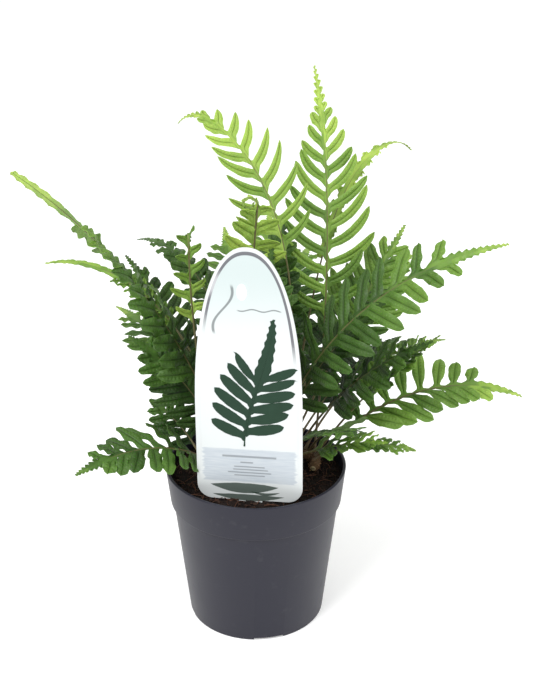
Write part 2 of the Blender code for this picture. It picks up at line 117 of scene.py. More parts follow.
Frond = namedtuple(
    "Frond",
    "name rhizome share heading lean bend sweep roll twist curl length stipe spread pairs look",
)
FRONDS = [Frond(*row) for row in (
    ("tall", "right", 0.40, 66, (14, 34), 2.0, 42, 0, 0, 0, 0.260, 0.36, 0.033, 11, "fresh"),
    ("arching", "right", 0.95, 133, (-4, 98), 2.5, 9, -25, 0, 40, 0.274, 0.50, 0.028, 9, "slender"),
    ("right_back", "back", 0.93, 46, (13.4, 134), 4.0, 1, 0, 0, 0, 0.256, 0.50, 0.018, 9, "young"),
    ("broad", "front", 0.85, -15, (15, 76), 1.3, 4, 42, 0, 0, 0.231, 0.28, 0.033, 9, "mature"),
    ("far_left", "front", 0.38, 170, (18, 56), 1.2, 4, -65, 140, 0, 0.240, 0.26, 0.031, 10, "twisted"),
    ("lower_right", "right", 0.20, 8, (43, 116), 1.3, -4, 38, 0, 0, 0.154, 0.22, 0.028, 8, "spoon"),
    ("lower_left", "front", 0.08, 218, (46, 108), 1.0, -4, -16, 0, 0, 0.106, 0.14, 0.031, 7, "low"),
    ("thin_left", "back", 0.20, 148, (15, 109), 1.5, 9, -30, 0, 0, 0.201, 0.45, 0.012, 8, "thin"),
    ("crozier_left", "front", 0.20, 169, (13, -2), 1.0, 0, -20, 0, 300, 0.172, 0.58, 0.020, 5, "coiled"),
    ("crozier_mid", "back", 0.50, 107, (-0.2, -14), 1.0, 8, -20, 0, 300, 0.200, 0.55, 0.027, 5, "coiling"),
    ("small_left", "back", 0.38, 143, (2, 112), 2.0, -8, 0, 0, 0, 0.186, 0.45, 0.016, 8, "dark"),
    ("dark_mid", "back", 0.70, 70, (-7.4, 38), 1.5, -15, 0, 0, 0, 0.166, 0.38, 0.028, 8, "dark"),
    ("pale_back", "back", 1.00, 28, (28, 37), 1.0, 7, 20, 0, 0, 0.165, 0.40, 0.026, 9, "pale"),
    ("side_right", "right", 0.30, -10, (30, 50), 1.0, 0, 0, 0, 0, 0.122, 0.45, 0.018, 7, "pale"),
    ("small_right", "right", 0.62, 36, (32, 100), 1.0, -6, 0, 0, 0, 0.138, 0.45, 0.012, 7, "pale"),
    ("thin_low", "right", 0.06, -4, (56, 108), 1.0, 0, 0, 0, 0, 0.070, 0.50, 0.008, 5, "pale"),
    ("left_mid", "front", 0.28, 162, (14, 64), 1.0, 0, -30, 0, 0, 0.108, 0.25, 0.026, 7, "dark"),
    ("inner_right", "right", 0.76, -23, (25, 62), 1.0, 0, 25, 0, 0, 0.132, 0.30, 0.026, 7, "dark"),
    ("inner_low", "right", 0.52, -73, (40, 75), 1.0, 0, 0, 0, 0, 0.095, 0.30, 0.022, 6, "dark"),
    ("low_inner", "front", 0.97, -16, (56, 84), 1.0, 0, 0, 0, 0, 0.078, 0.35, 0.016, 6, "pale"),
    ("low_left", "front", 0.00, 140, (35, 80), 1.0, 0, -20, 0, 0, 0.060, 0.25, 0.018, 5, "dark"),
    ("left_back", "back", 0.00, 126, (25, 62), 1.0, 0, -20, 0, 0, 0.108, 0.28, 0.025, 7, "dark"),
    ("high_left", "back", 0.15, 137, (19.2, 58), 1.0, 0, 0, 0, 0, 0.150, 0.38, 0.024, 7, "dark"),
    ("back_a", "back", 0.45, 97, (26, 84), 1.2, 0, 0, 0, 0, 0.185, 0.32, 0.032, 9, "mature"),
    ("back_b", "back", 0.60, 75, (35, 92), 1.2, 0, 0, 0, 0, 0.190, 0.30, 0.030, 9, "mature"),
    ("back_c", "back", 0.82, 92, (29.6, 82), 1.2, 0, 0, 0, 0, 0.200, 0.32, 0.030, 9, "mature"),
    ("back_d", "back", 0.88, 48, (32, 90), 1.2, 0, 0, 0, 0, 0.190, 0.30, 0.030, 9, "mature"),
    ("back_e", "back", 0.07, 127, (38, 96), 1.2, 0, 0, 0, 0, 0.148, 0.28, 0.026, 8, "mature"),
    ("back_f", "back", 0.33, 115, (50, 104), 1.0, 0, 0, 0, 0, 0.150, 0.25, 0.026, 8, "dark"),
    ("back_g", "back", 0.77, 77, (52, 105), 1.0, 0, 0, 0, 0, 0.150, 0.25, 0.026, 8, "dark"),
    ("low_back", "right", 0.85, 50, (48, 96), 1.0, 0, 0, 0, 0, 0.135, 0.25, 0.026, 8, "dark"),
    ("upright", "front", 0.75, 60, (-0.8, 14), 1.0, 0, 0, 0, 0, 0.150, 0.40, 0.026, 8, "dark"),
    ("inner_back", "front", 0.91, 16, (13.6, 58), 1.0, 0, 15, 0, 0, 0.140, 0.28, 0.024, 8, "dark"),
    ("upright_left", "front", 0.63, 182, (3.2, 22), 1.0, 0, 0, 0, 0, 0.140, 0.40, 0.022, 7, "dark"),
)]

# How each kind of frond looks: fresh is its colour from dark 0 to yellow-green 1, gain what
# its tip adds to that, reach the pinna's length against the frond's spread, taper how soon
# pinnae shorten towards the tip, fill a pinna's width against its step, point how sharp its
# end is, waist how far it narrows at its foot, spoon how much wider its end is, angles
# between pinna and rachis at base and tip, bend how far a pinna swings forward, lift and curl
# how it rises, wave how much its margins undulate, wing the half width in millimetres of the
# blade along the rachis, tail_from the share of the blade where the toothed tail starts, neck
# how far it is drawn in there, tail its half width in millimetres, blunt how slowly it
# narrows, teeth how deep it is cut, loose how unlike the pinnae are and skew the degrees by
# which the right-hand pinnae stand wider than the left-hand ones.
Look = namedtuple(
    "Look",
    "fresh gain reach taper fill point waist spoon base_angle tip_angle bend lift curl wave"
    " wing tail_from neck tail blunt teeth loose skew",
)
LOOKS = {
    "fresh": Look(
        0.55, 0.42, 1.16, 2.3, 0.50, 0.15, 0.20, 0.15,
        80, 56, 50, 8, 10, 0.08, 0.7, 0.80, 0.0, 5.2, 1.0, 0.65, 1.1, 0,
    ),
    "slender": Look(
        0.74, 0.24, 1.16, 2.2, 0.46, 0.55, 0.15, -0.1,
        80, 56, 40, 5, 12, 0.08, 0.7, 0.84, 0.0, 3.2, 0.9, 0.6, 1.3, 0,
    ),
    "young": Look(
        0.80, 0.18, 0.21, 1.3, 1.0, 0.10, 0.0, 0.0,
        62, 44, 14, 10, 10, 0.35, 3.5, 0.74, 0.0, 2.2, 0.7, 0.2, 1.2, 0,
    ),
    "mature": Look(
        0.11, 0.80, 1.04, 1.8, 0.60, 0.0, 0.12, 0.12,
        70, 54, 4, 6, -14, 0.12, 0.7, 0.78, 0.0, 4.0, 0.95, 0.22, 1.2, 0,
    ),
    "twisted": Look(
        0.16, 1.0, 0.92, 2.0, 0.84, 0.0, 0.30, 0.15,
        74, 50, 22, 12, -40, 0.18, 0.9, 0.66, 0.62, 6.0, 0.42, 0.12, 2.2, 0,
    ),
    "low": Look(
        0.22, 0.14, 0.86, 1.6, 0.94, 0.1, 0.30, 0.2,
        76, 54, 12, 6, -14, 0.12, 0.9, 0.80, 0.0, 4.4, 0.75, 0.3, 1.2, 0,
    ),
    "spoon": Look(
        0.44, 0.42, 1.02, 1.9, 0.72, 0.05, 0.70, 0.55,
        72, 54, 6, 6, -12, 0.12, 0.7, 0.74, 0.0, 3.4, 0.8, 0.12, 1.8, -18,
    ),
    "pale": Look(
        0.40, 0.34, 1.35, 1.6, 0.80, 0.05, 0.35, 0.2,
        72, 48, 20, 6, -12, 0.14, 0.7, 0.80, 0.0, 2.8, 0.7, 0.25, 1.6, 0,
    ),
    "thin": Look(
        0.52, 0.34, 0.80, 1.6, 0.56, 0.6, 0.30, 0.0,
        60, 40, 20, 20, -30, 0.45, 0.9, 0.46, 0.30, 3.0, 0.7, 0.12, 2.2, 0,
    ),
    "dark": Look(
        0.08, 0.24, 1.06, 1.8, 0.76, 0.0, 0.20, 0.15,
        76, 54, 16, 4, -16, 0.12, 0.8, 0.80, 0.0, 3.6, 0.75, 0.35, 1.8, 0,
    ),
    "coiled": Look(
        0.78, -0.60, 0.86, 1.0, 0.42, 0.75, 0.10, 0.0,
        80, 72, 70, 10, 50, 0.06, 0.5, 0.86, 0.0, 2.4, 0.3, 0.5, 1.4, 0,
    ),
    "coiling": Look(
        0.96, -0.20, 1.00, 1.6, 0.66, 0.5, 0.20, 0.0,
        76, 60, 40, 10, 40, 0.10, 0.7, 0.72, 0.0, 2.2, 0.4, 0.4, 1.6, 0,
    ),
}
# Coiled tips: where along the frond the coil starts, how tightly it winds, the degrees by
# which its plane turns about Z and the roll of the blade below it.
Coil = namedtuple("Coil", "start tightness turn roll")
COILS = {
    "crozier_mid": Coil(0.865, 1.30, 68, 0),
    "crozier_left": Coil(0.90, 1.70, -79, -59),
}


class Socket:
    """A node's output that takes part in arithmetic; each operation adds a Math node."""

    def __init__(self, nodes, output):
        self.nodes = nodes
        self.output = output

    def math(self, operation, *others):
        return self.nodes.add("ShaderNodeMath", {"operation": operation}, self, *others)

    def reflected(self, operation, other):
        return self.nodes.add("ShaderNodeMath", {"operation": operation}, other, self)

    def __add__(self, other):
        return self.math("ADD", other)

    def __radd__(self, other):
        return self.reflected("ADD", other)

    def __sub__(self, other):
        return self.math("SUBTRACT", other)

    def __rsub__(self, other):
        return self.reflected("SUBTRACT", other)

    def __mul__(self, other):
        return self.math("MULTIPLY", other)

    def __rmul__(self, other):
        return self.reflected("MULTIPLY", other)

    def __truediv__(self, other):
        return self.math("DIVIDE", other)

    def __rtruediv__(self, other):
        return self.reflected("DIVIDE", other)

    def __pow__(self, other):
        return self.math("POWER", other)

    def __mod__(self, other):
        return self.math("FLOORED_MODULO", other)

    def __neg__(self):
        return self.math("MULTIPLY", -1)

    def __gt__(self, other):
        return self.math("GREATER_THAN", other)

    def __lt__(self, other):
        return self.math("LESS_THAN", other)

    def __abs__(self):
        return self.math("ABSOLUTE")

    def sin(self):
        return self.math("SINE")

    def cos(self):
        return self.math("COSINE")

    def root(self):
        return self.math("SQRT")

    def floor(self):
        return self.math("FLOOR")

    def least(self, other):
        return self.math("MINIMUM", other)

    def most(self, other):
        return self.math("MAXIMUM", other)

    def clamped(self):
        return self.most(0).least(1)

    def ramp(self, start, end):
        """0 before start and 1 after end, smooth between; start may be the larger."""
        settings = {"interpolation_type": "SMOOTHSTEP", "clamp": True}
        if not isinstance(start, Socket) and start > end:
            return 1 - self.nodes.add("ShaderNodeMapRange", settings, self, end, start, 0, 1)
        return self.nodes.add("ShaderNodeMapRange", settings, self, start, end, 0, 1)


class Nodes:
    """Adds nodes to a tree and joins them."""

    def __init__(self, tree):
        self.tree = tree

    def node(self, kind, settings=None, *values, **named):
        """A node with its settings made first, then its inputs by order or by name."""
        node = self.tree.nodes.new(kind)
        for key, setting in (settings or {}).items():
            setattr(node, key, setting)
        inputs = [socket for socket in node.inputs if socket.enabled]
        for socket, value in zip(inputs, values):
            self.feed(socket, value)
        for key, value in named.items():
            wanted = key.replace("_", " ").lower()
            socket = next(socket for socket in inputs if socket.name.lower() == wanted)
            self.feed(socket, value)
        return node

    def add(self, kind, settings=None, *values, out=None, **named):
        """The same, giving one output: the first enabled one, or the one named."""
        node = self.node(kind, settings, *values, **named)
        return self.output(node, out)

    def output(self, node, name=None):
        outputs = [socket for socket in node.outputs if socket.enabled]
        if name is None:
            return Socket(self, outputs[0])
        return Socket(self, next(socket for socket in outputs if socket.name == name))

    def feed(self, socket, value):
        if value is None:
            return
        if isinstance(value, Socket):
            self.tree.links.new(value.output, socket)
        elif isinstance(value, (tuple, list)) and socket.type == "RGBA" and len(value) == 3:
            socket.default_value = (*value, 1)
        else:
            socket.default_value = value

    def vector(self, operation, *values, out=None, **named):
        return self.add("ShaderNodeVectorMath", {"operation": operation}, *values, out=out, **named)

    def combine(self, x, y, z):
        return self.add("ShaderNodeCombineXYZ", None, x, y, z)

    def separate(self, vector):
        node = self.node("ShaderNodeSeparateXYZ", None, vector)
        return [Socket(self, socket) for socket in node.outputs]

    def mix(self, factor, first, second):
        """Two colours or vectors mixed."""
        settings = {"data_type": "RGBA", "clamp_factor": True}
        return self.add("ShaderNodeMix", settings, factor=factor, a=first, b=second)

    def blend(self, factor, first, second):
        """Two places mixed."""
        settings = {"data_type": "VECTOR", "clamp_factor": True}
        return self.add("ShaderNodeMix", settings, factor=factor, a=first, b=second)

    def field(self, name, kind="FLOAT"):
        """A value kept on the mesh, read in Geometry Nodes."""
        return self.add("GeometryNodeInputNamedAttribute", {"data_type": kind}, name=name)

    def shown(self, name, out="Vector"):
        """A value kept on the mesh, read in a material."""
        return self.add("ShaderNodeAttribute", {"attribute_name": name}, out=out)

    def store(self, geometry, name, value, kind="FLOAT"):
        return self.add(
            "GeometryNodeStoreNamedAttribute", {"data_type": kind, "domain": "POINT"},
            geometry=geometry, name=name, value=value,
        )

    def chance(self, low, high, seed, kind="FLOAT", identity=None):
        """A random value between two limits, one for each point."""
        return self.add(
            "FunctionNodeRandomValue", {"data_type": kind},
            min=low, max=high, id=identity, seed=seed,
        )

    def scatter(self, density, seed, surface, selection=None):
        """A node that spreads points over a surface."""
        return self.node(
            "GeometryNodeDistributePointsOnFaces", {"distribute_method": "RANDOM"},
            mesh=surface, density=density, seed=seed, selection=selection,
        )

    def finished(self, geometry, finish):
        """The geometry as real meshes that carry a material."""
        real = self.add("GeometryNodeRealizeInstances", None, geometry)
        return self.add("GeometryNodeSetMaterial", None, geometry=real, material=finish)

    def joined(self, *parts):
        node = self.tree.nodes.new("GeometryNodeJoinGeometry")
        for part in parts:
            self.feed(node.inputs[0], part)
        return self.output(node)

    def noise(self, vector, scale, detail=2.0, roughness=0.5):
        return self.add(
            "ShaderNodeTexNoise", None,
            vector=vector, scale=scale, detail=detail, roughness=roughness,
        )

    def colours(self, factor, stops):
        """A colour ramp through (position, colour) stops."""
        node = self.tree.nodes.new("ShaderNodeValToRGB")
        band = node.color_ramp
        while len(band.elements) < len(stops):
            band.elements.new(0.5)
        for element, (position, colour) in zip(band.elements, stops):
            element.position = position
            element.color = (*colour, 1)
        self.feed(node.inputs[0], factor)
        return Socket(self, node.outputs[0])


def material(name, roughness=0.5, **fixed):
    """A new Principled material, its nodes and its shader, with the even values set on it."""
    made = bpy.data.materials.new(name)
    made.use_nodes = True
    shader = made.node_tree.nodes["Principled BSDF"]
    shader.inputs["Roughness"].default_value = roughness
    for socket in shader.inputs:
        key = socket.name.lower().replace(" ", "_")
        if key in fixed:
            socket.default_value = fixed[key]
    return made, Nodes(made.node_tree), shader


def bump(nodes, shader, height, strength, distance):
    normal = nodes.add("ShaderNodeBump", None, strength=strength, distance=distance, height=height)
    nodes.feed(shader.inputs["Normal"], normal)


def place(nodes):
    """Where a point lies on the piece, in metres."""
    return nodes.add("ShaderNodeTexCoord", out="Object")


# ---- finishes ----
VEINS_PER_METRE = 420
# Plain bars and leaf shapes printed on the label, as height, half width, middle and thickness
# in shares of the label's height and half width.
LABEL_BARS = (
    (0.182, 0.52, 0.0, 0.0050),
    (0.158, 0.13, -0.05, 0.0036),
    (0.140, 0.30, 0.0, 0.0030),
    (0.128, 0.34, 0.02, 0.0030),
    (0.116, 0.42, 0.0, 0.0030),
    (0.104, 0.30, 0.0, 0.0030),
)
LABEL_LEAVES = (
    (0.050, 0.66, -0.10, 0.022),
    (0.010, 0.70, -0.03, 0.014),
    (0.028, 0.28, 0.30, 0.006),
)


def pot_plastic(settings):
    made, nodes, shader = material("anthracite_plastic", 0.42, specular_ior_level=0.28)
    where = place(nodes)
    x, y, z = nodes.separate(where)
    cloud = nodes.noise(where, 28.0, 3.0)
    grain = nodes.noise(where, 900.0, 2.0)
    # Faint upright flow lines from the mould.
    flow = nodes.noise(nodes.combine(x * 260, y * 260, z * 6), 1.0, 2.0)
    base = tuple(settings.colour)
    lighter = tuple(channel * 1.22 for channel in base)
    dusty = tuple(channel * 0.6 + 0.10 for channel in base)
    colour = nodes.mix(cloud, base, lighter)
    dust = nodes.noise(where, 150.0, 4.0).ramp(0.60, 0.78) * 0.10
    nodes.feed(shader.inputs["Base Color"], nodes.mix(dust, colour, dusty))
    nodes.feed(shader.inputs["Roughness"], 0.36 + cloud * 0.12 + dust * 0.8)
    bump(nodes, shader, flow * 0.5 + grain * 0.35, 0.10, 0.0004)
    return made


def mix_surface(settings):
    made, nodes, shader = material("potting_mix", 0.95, specular_ior_level=0.2)
    where = place(nodes)
    clod = nodes.noise(where, 170.0, 5.0, 0.6)
    fine = nodes.noise(where, 700.0, 4.0, 0.7)
    stops = (
        (0.30, (0.003, 0.002, 0.002)),
        (0.52, tuple(settings.dark)),
        (0.72, tuple(settings.light)),
    )
    nodes.feed(shader.inputs["Base Color"], nodes.colours(clod * 0.6 + fine * 0.4, stops))
    bump(nodes, shader, clod + fine * 0.6, 0.9, 0.0015)
    return made


def strewn(name, dark, light, roughness):
    """Crumbs, fibres or scales, each piece a little different through its own shade value."""
    made, nodes, shader = material(name, roughness, specular_ior_level=0.25)
    shade = nodes.shown("shade", "Fac")
    fine = nodes.noise(place(nodes), 900.0, 3.0, 0.6)
    nodes.feed(shader.inputs["Base Color"], nodes.mix(shade * 0.8 + fine * 0.3, dark, light))
    bump(nodes, shader, fine, 0.6, 0.0006)
    return made


def leaf_surface(settings):
    """Green from dark at the base to yellow-green at the tip, with veins, spore dots and a midrib groove
    darkened by painted shade.
    """
    made, nodes, shader = material("fern_leaf", 0.45, specular_ior_level=0.3)
    across, reach, size = nodes.separate(nodes.shown("blade"))
    fresh, chance, under = nodes.separate(nodes.shown("tone"))
    where = place(nodes)
    cloud = nodes.noise(where, 70.0, 3.0)
    speck = nodes.noise(where, 900.0, 2.0)
    age = fresh + (cloud - 0.5) * 0.22 + (chance - 0.5) * 0.26
    stops = (
        (0.00, tuple(settings.dark)),
        (0.36, tuple(settings.middle)),
        (0.68, tuple(settings.bright)),
        (1.00, tuple(settings.tip)),
    )
    colour = nodes.colours(age, stops)
    pale = nodes.vector("SCALE", colour, scale=1.7)
    edge = abs(across)
    midrib = edge.ramp(0.14, 0.03) * reach.ramp(1.0, 0.7)
    margin = edge.ramp(0.84, 1.0) * 0.5
    # Side veins leave the midrib at a slant.
    run = (reach * size * VEINS_PER_METRE - edge * 1.2) % 1
    vein = abs(run - 0.5).ramp(0.16, 0.02) * edge.ramp(0.02, 0.12) * edge.ramp(0.98, 0.7)
    # Spore dots under the leaf raise a row of low bumps on each side of the midrib.
    dot_run = ((reach * size * VEINS_PER_METRE) % 1 - 0.5) * 2.2
    dot_side = (edge - 0.52) * 4.2
    dot = (dot_run * dot_run + dot_side * dot_side).ramp(1.0, 0.1) * reach.ramp(0.02, 0.2)
    # Painted shade: each pinna is drawn darker along its midrib groove.
    deep = nodes.vector("SCALE", colour, scale=0.5)
    lit = nodes.mix(margin + vein * 0.06 + dot * 0.16, colour, pale)
    lit = nodes.mix(midrib * 0.6, lit, deep)
    # The lower face is paler and greyer.
    dull = nodes.mix(0.45, colour, tuple(settings.under))
    nodes.feed(shader.inputs["Base Color"], nodes.mix(under * 0.8, lit, dull))
    nodes.feed(shader.inputs["Roughness"], 0.40 + speck * 0.12 + under * 0.15)
    height = dot * 0.9 - midrib * 1.0 - vein * 0.35 + cloud * 0.8 + speck * 0.15
    bump(nodes, shader, height, 0.55, 0.0005)
    shader.inputs["Subsurface Weight"].default_value = 0.12
    shader.inputs["Subsurface Radius"].default_value = (0.35, 0.8, 0.10)
    shader.inputs["Subsurface Scale"].default_value = 0.0015
    return made


def stalk_surface(settings):
    made, nodes, shader = material("fern_stalk", 0.45)
    _, along, _ = nodes.separate(nodes.shown("tone"))
    stops = (
        (0.0, tuple(settings.stalk_foot)),
        (0.35, tuple(settings.stalk)),
        (0.85, tuple(settings.stalk)),
        (1.0, tuple(settings.bright)),
    )
    fine = nodes.noise(place(nodes), 400.0, 3.0)
    colour = nodes.colours(along + (fine - 0.5) * 0.15, stops)
    nodes.feed(shader.inputs["Base Color"], colour)
    bump(nodes, shader, fine, 0.3, 0.0003)
    return made


def label_print(settings):
    """White card with a pale tint, an arched silver line, an eyelet and plain printed bars."""
    made, nodes, shader = material("label_print", 0.30, specular_ior_level=0.5, coat_weight=0.15)
    x, y, _ = nodes.separate(nodes.add("ShaderNodeUVMap", {"uv_map": "face"}))
    # x runs from -1 to 1 over the width and y from 0 to 1 over the height.
    rise = ((y - LABEL_SHOULDER) / (1 - LABEL_SHOULDER)).most(0)
    out = (abs(x) ** LABEL_FULLNESS + rise ** LABEL_FULLNESS) ** (1 / LABEL_FULLNESS)
    # Millimetres in from the arched edge.
    inset = (1 - out) * (34 + rise ** 3 * 75)
    card = tuple(settings.card)
    dark_line = tuple(settings.silver_core)
    face = nodes.mix(y.ramp(0.60, 0.92) * inset.ramp(3, 4) * 0.8, card, tuple(settings.tint))
    line = inset.ramp(2.2, 2.6) * inset.ramp(4.6, 4.2) * (y + x * 0.07).ramp(0.60, 0.72)
    # The glint is a painted highlight: the line is drawn silver only near its left shoulder.
    glint = abs(y - 0.86).ramp(0.06, 0.01) * x.ramp(0.0, -0.3) + 0.08
    silver = nodes.mix(glint, dark_line, tuple(settings.silver))
    face = nodes.mix(line * 0.9, face, silver)
    hair = abs(abs(abs(x) - 0.915) - 0.012).ramp(0.006, 0.002)
    hair = hair * y.ramp(0.64, 0.5) * y.ramp(0.1, 0.2)
    face = nodes.mix(hair * 0.22, face, tuple(settings.silver))
    # Grey-blue wash with plain bars in place of words.
    where = place(nodes)
    ragged = nodes.noise(nodes.combine(x * 3, y * 60, 0.0), 1.6, 2.0) - 0.5
    wash = (y + ragged * 0.006).ramp(0.072, 0.080) * (y + ragged * 0.006).ramp(0.216, 0.208)
    wash = wash * (abs(x) + ragged * 0.20).ramp(0.90, 0.84)
    streak = nodes.noise(nodes.combine(x * 1.2, y * 85, 0.0), 2.2, 2.0)
    face = nodes.mix(wash * (0.25 + streak * 0.75), face, tuple(settings.wash))
    bars = 0
    for height, half, middle, thick in LABEL_BARS:
        level = abs(y - height).ramp(thick, thick * 0.7)
        bars = level * abs(x - middle).ramp(half, half - 0.02) + bars
    face = nodes.mix(bars * 0.55, face, tuple(settings.ink))
    # Dark leaf shapes along the bottom.
    leaves = 0
    for height, half, middle, thick in LABEL_LEAVES:
        along = (x - middle) / half
        bow = height + along * along * 0.010
        leaf = (y - bow + ragged * 0.004) / thick
        leaves = (1 - along * along - abs(leaf)).ramp(0.0, 0.06) + leaves
    face = nodes.mix(leaves * 0.88, face, tuple(settings.print_green))
    # One plain swash across the arch.
    lift = y - 0.765
    swash = abs(x + 0.44 - lift * 1.4 - (lift * 30).sin() * 0.10).ramp(0.034, 0.016)
    swash = swash * abs(lift).ramp(0.100, 0.080)
    trail = abs(lift - (x * 16).sin() * 0.004).ramp(0.0035, 0.0015)
    trail = trail * abs(x - 0.22).ramp(0.42, 0.36)
    face = nodes.mix((swash + trail) * 0.75, face, tuple(settings.ink))
    # The eyelet, left blank.
    eye = (x + 0.09) * (x + 0.09) * 118 + (y - 0.833) * (y - 0.833) * 1000
    face = nodes.mix(eye.ramp(1.0, 0.85), face, (0.95, 0.97, 0.97))
    nodes.feed(shader.inputs["Base Color"], face)
    nodes.feed(shader.inputs["Metallic"], line * 0.15)
    nodes.feed(shader.inputs["Roughness"], 0.34 - line * 0.08)
    return made


def printed_green(settings):
    made, nodes, shader = material("printed_green", 0.45, specular_ior_level=0.12)
    across, _, _ = nodes.separate(nodes.shown("blade"))
    cloud = nodes.noise(place(nodes), 160.0, 3.0)
    ink = tuple(settings.print_green)
    light = tuple(channel * 1.6 for channel in ink)
    midrib = abs(across).ramp(0.10, 0.02) * 0.10
    nodes.feed(shader.inputs["Base Color"], nodes.mix(cloud * 0.5 + midrib, ink, light))
    return made


# ---- shapes shared with the part ----
def body_radius(height):
    return BASE_RADIUS + (RIM_RADIUS - COLLAR_STEP - BASE_RADIUS) * height / POT_HEIGHT


def collar_radius(height):
    return body_radius(height) + COLLAR_STEP


COLLAR_LOW = POT_HEIGHT - COLLAR_HEIGHT
SHELF = COLLAR_LOW + POT_WALL
FLOOR = FOOT_HEIGHT + FLOOR_THICKNESS


def soil_height(x, y):
    share = min(1.0, math.hypot(x, y) / RIM_RADIUS)
    return POT_HEIGHT - SOIL_DROP + SOIL_MOUND * (1 - share * share)


def label_matrix():
    x, y = LABEL_FOOT
    foot = Vector((x, y, soil_height(x, y) + LABEL_LIFT))
    turn = Matrix.Rotation(math.radians(LABEL_TURN), 4, "Z")
    back = Matrix.Rotation(math.radians(-LABEL_LEAN_BACK), 4, "X")
    side = Matrix.Rotation(math.radians(LABEL_LEAN_SIDE), 4, "Y")
    return Matrix.Translation(foot) @ turn @ back @ side


def rhizome_place(name, share):
    """A place on a rhizome's centre line, a smooth curve through its own points."""
    route = [Vector(point) for point in RHIZOMES[name]]
    route = [2 * route[0] - route[1], *route, 2 * route[-1] - route[-2]]
    spans = len(route) - 3
    span = min(int(share * spans), spans - 1)
    t = share * spans - span
    before, start, end, after = route[span:span + 4]
    flat = 0.5 * (
        2 * start
        + (end - before) * t
        + (2 * before - 5 * start + 4 * end - after) * t ** 2
        + (3 * start - before - 3 * end + after) * t ** 3
    )
    height = soil_height(*flat) + GAP + RHIZOME_DIAMETER / 2
    return Vector((flat.x, flat.y, height))


def rhizome_radius(share):
    return RHIZOME_DIAMETER / 2 * (1 - (1 - RHIZOME_TIP_SHARE) * share ** 3)


def frond_foot(frond):
    spot = rhizome_place(frond.rhizome, frond.share)
    tilted = STIPE_THICKNESS * math.sin(math.radians(frond.lean[0]))
    rise = rhizome_radius(frond.share) + GAP + abs(tilted)
    return np.array((spot.x, spot.y, spot.z + rise))


def direction(frond, share):
    """Unit vectors along the frond and across it to its right."""
    lean = frond.lean[0] + (frond.lean[1] - frond.lean[0]) * share ** frond.bend
    heading = frond.heading + frond.sweep * share
    roll = frond.roll + frond.twist * share
    if frond.name in COILS:
        coil = COILS[frond.name]
        wound = np.clip((share - coil.start) / (1 - coil.start), 0, 1)
        turned_by = np.minimum(1, wound * 5)
        lean = lean + frond.curl * coil.tightness * wound ** 1.4
        heading = heading + coil.turn * turned_by
        roll = roll + coil.roll * (1 - turned_by)
    else:
        lean = lean + frond.curl * np.clip((share - CURL_FROM) / (1 - CURL_FROM), 0, 1)
    lean = np.radians(lean)
    heading = np.radians(heading)
    roll = np.radians(roll)
    level = 0 * share
    along = np.stack(
        [np.sin(lean) * np.cos(heading), np.sin(lean) * np.sin(heading), np.cos(lean)], -1
    )
    right = np.stack([np.sin(heading), -np.cos(heading), level], -1)
    down = np.cross(along, right)
    across = np.cos(roll)[:, None] * right + np.sin(roll)[:, None] * down
    return along, across


def growth_curve(frond):
    """Places along the frond, grown step by step from the foot."""
    middle = (np.arange(STEPS) + 0.5) / STEPS
    grown = np.cumsum(direction(frond, middle)[0], axis=0) * frond.length / STEPS
    return np.vstack([np.zeros(3), grown]) + frond_foot(frond)


# ---- helpers ----
def new_piece(name, points, faces, *materials, smooth=None):
    mesh = bpy.data.meshes.new(name)
    mesh.from_pydata([tuple(map(float, point)) for point in points], [], faces)
    for each in materials:
        mesh.materials.append(each)
    piece = bpy.data.objects.new(name, mesh)
    bpy.context.scene.collection.objects.link(piece)
    if smooth is not None:
        smoothed(piece, smooth)
    return piece


def smoothed(piece, angle):
    piece.data.shade_smooth()
    piece.data.set_sharp_from_angle(angle=math.radians(angle))


def turned(profile, sides):
    """Points and faces of a profile turned about Z, from the axis up the outside and back in."""
    points = [(0, 0, profile[0][1])]
    for radius, height in profile[1:-1]:
        for side in range(sides):
            angle = 2 * math.pi * side / sides
            points.append((radius * math.cos(angle), radius * math.sin(angle), height))
    points.append((0, 0, profile[-1][1]))
    rings = len(profile) - 2
    faces = []
    for side in range(sides):
        after = (side + 1) % sides
        faces.append((0, 1 + after, 1 + side))
        for ring in range(rings - 1):
            low = 1 + ring * sides
            high = low + sides
            faces.append((low + side, low + after, high + after, high + side))
        top = 1 + (rings - 1) * sides
        faces.append((len(points) - 1, top + side, top + after))
    return points, faces


def prism(outline, low, high):
    """Points and faces of a flat outline, counter-clockwise, extruded from low to high."""
    count = len(outline)
    points = [(x, y, low) for x, y in outline] + [(x, y, high) for x, y in outline]
    faces = [tuple(reversed(range(count))), tuple(range(count, 2 * count))]
    faces += [(i, (i + 1) % count, count + (i + 1) % count, count + i) for i in range(count)]
    return points, faces


def grown_mesh(piece):
    """Turns what the piece's Geometry Nodes make into its plain mesh."""
    graph = bpy.context.evaluated_depsgraph_get()
    made = bpy.data.meshes.new_from_object(piece.evaluated_get(graph))
    piece.modifiers.clear()
    piece.data = made
    return piece


def run_tree(piece, tree, **inputs):
    """Puts a Geometry Nodes tree on the piece with its inputs set, and applies it."""
    modifier = piece.modifiers.new(tree.name, "NODES")
    modifier.node_group = tree
    for item in tree.interface.items_tree:
        if item.item_type == "SOCKET" and item.in_out == "INPUT" and item.name in inputs:
            modifier[item.identifier] = inputs[item.name]
    return grown_mesh(piece)


def new_tree(name, sockets):
    """A Geometry Nodes tree with these inputs, as (name, kind, default)."""
    tree = bpy.data.node_groups.new(name, "GeometryNodeTree")
    tree.interface.new_socket("Geometry", in_out="OUTPUT", socket_type="NodeSocketGeometry")
    tree.interface.new_socket("Geometry", in_out="INPUT", socket_type="NodeSocketGeometry")
    for socket, kind, default in sockets:
        made = tree.interface.new_socket(socket, in_out="INPUT", socket_type=f"NodeSocket{kind}")
        if default is not None:
            made.default_value = default
    nodes = Nodes(tree)
    entry = tree.nodes.new("NodeGroupInput")
    given = {socket.name: Socket(nodes, socket) for socket in entry.outputs if socket.name}
    return tree, nodes, given


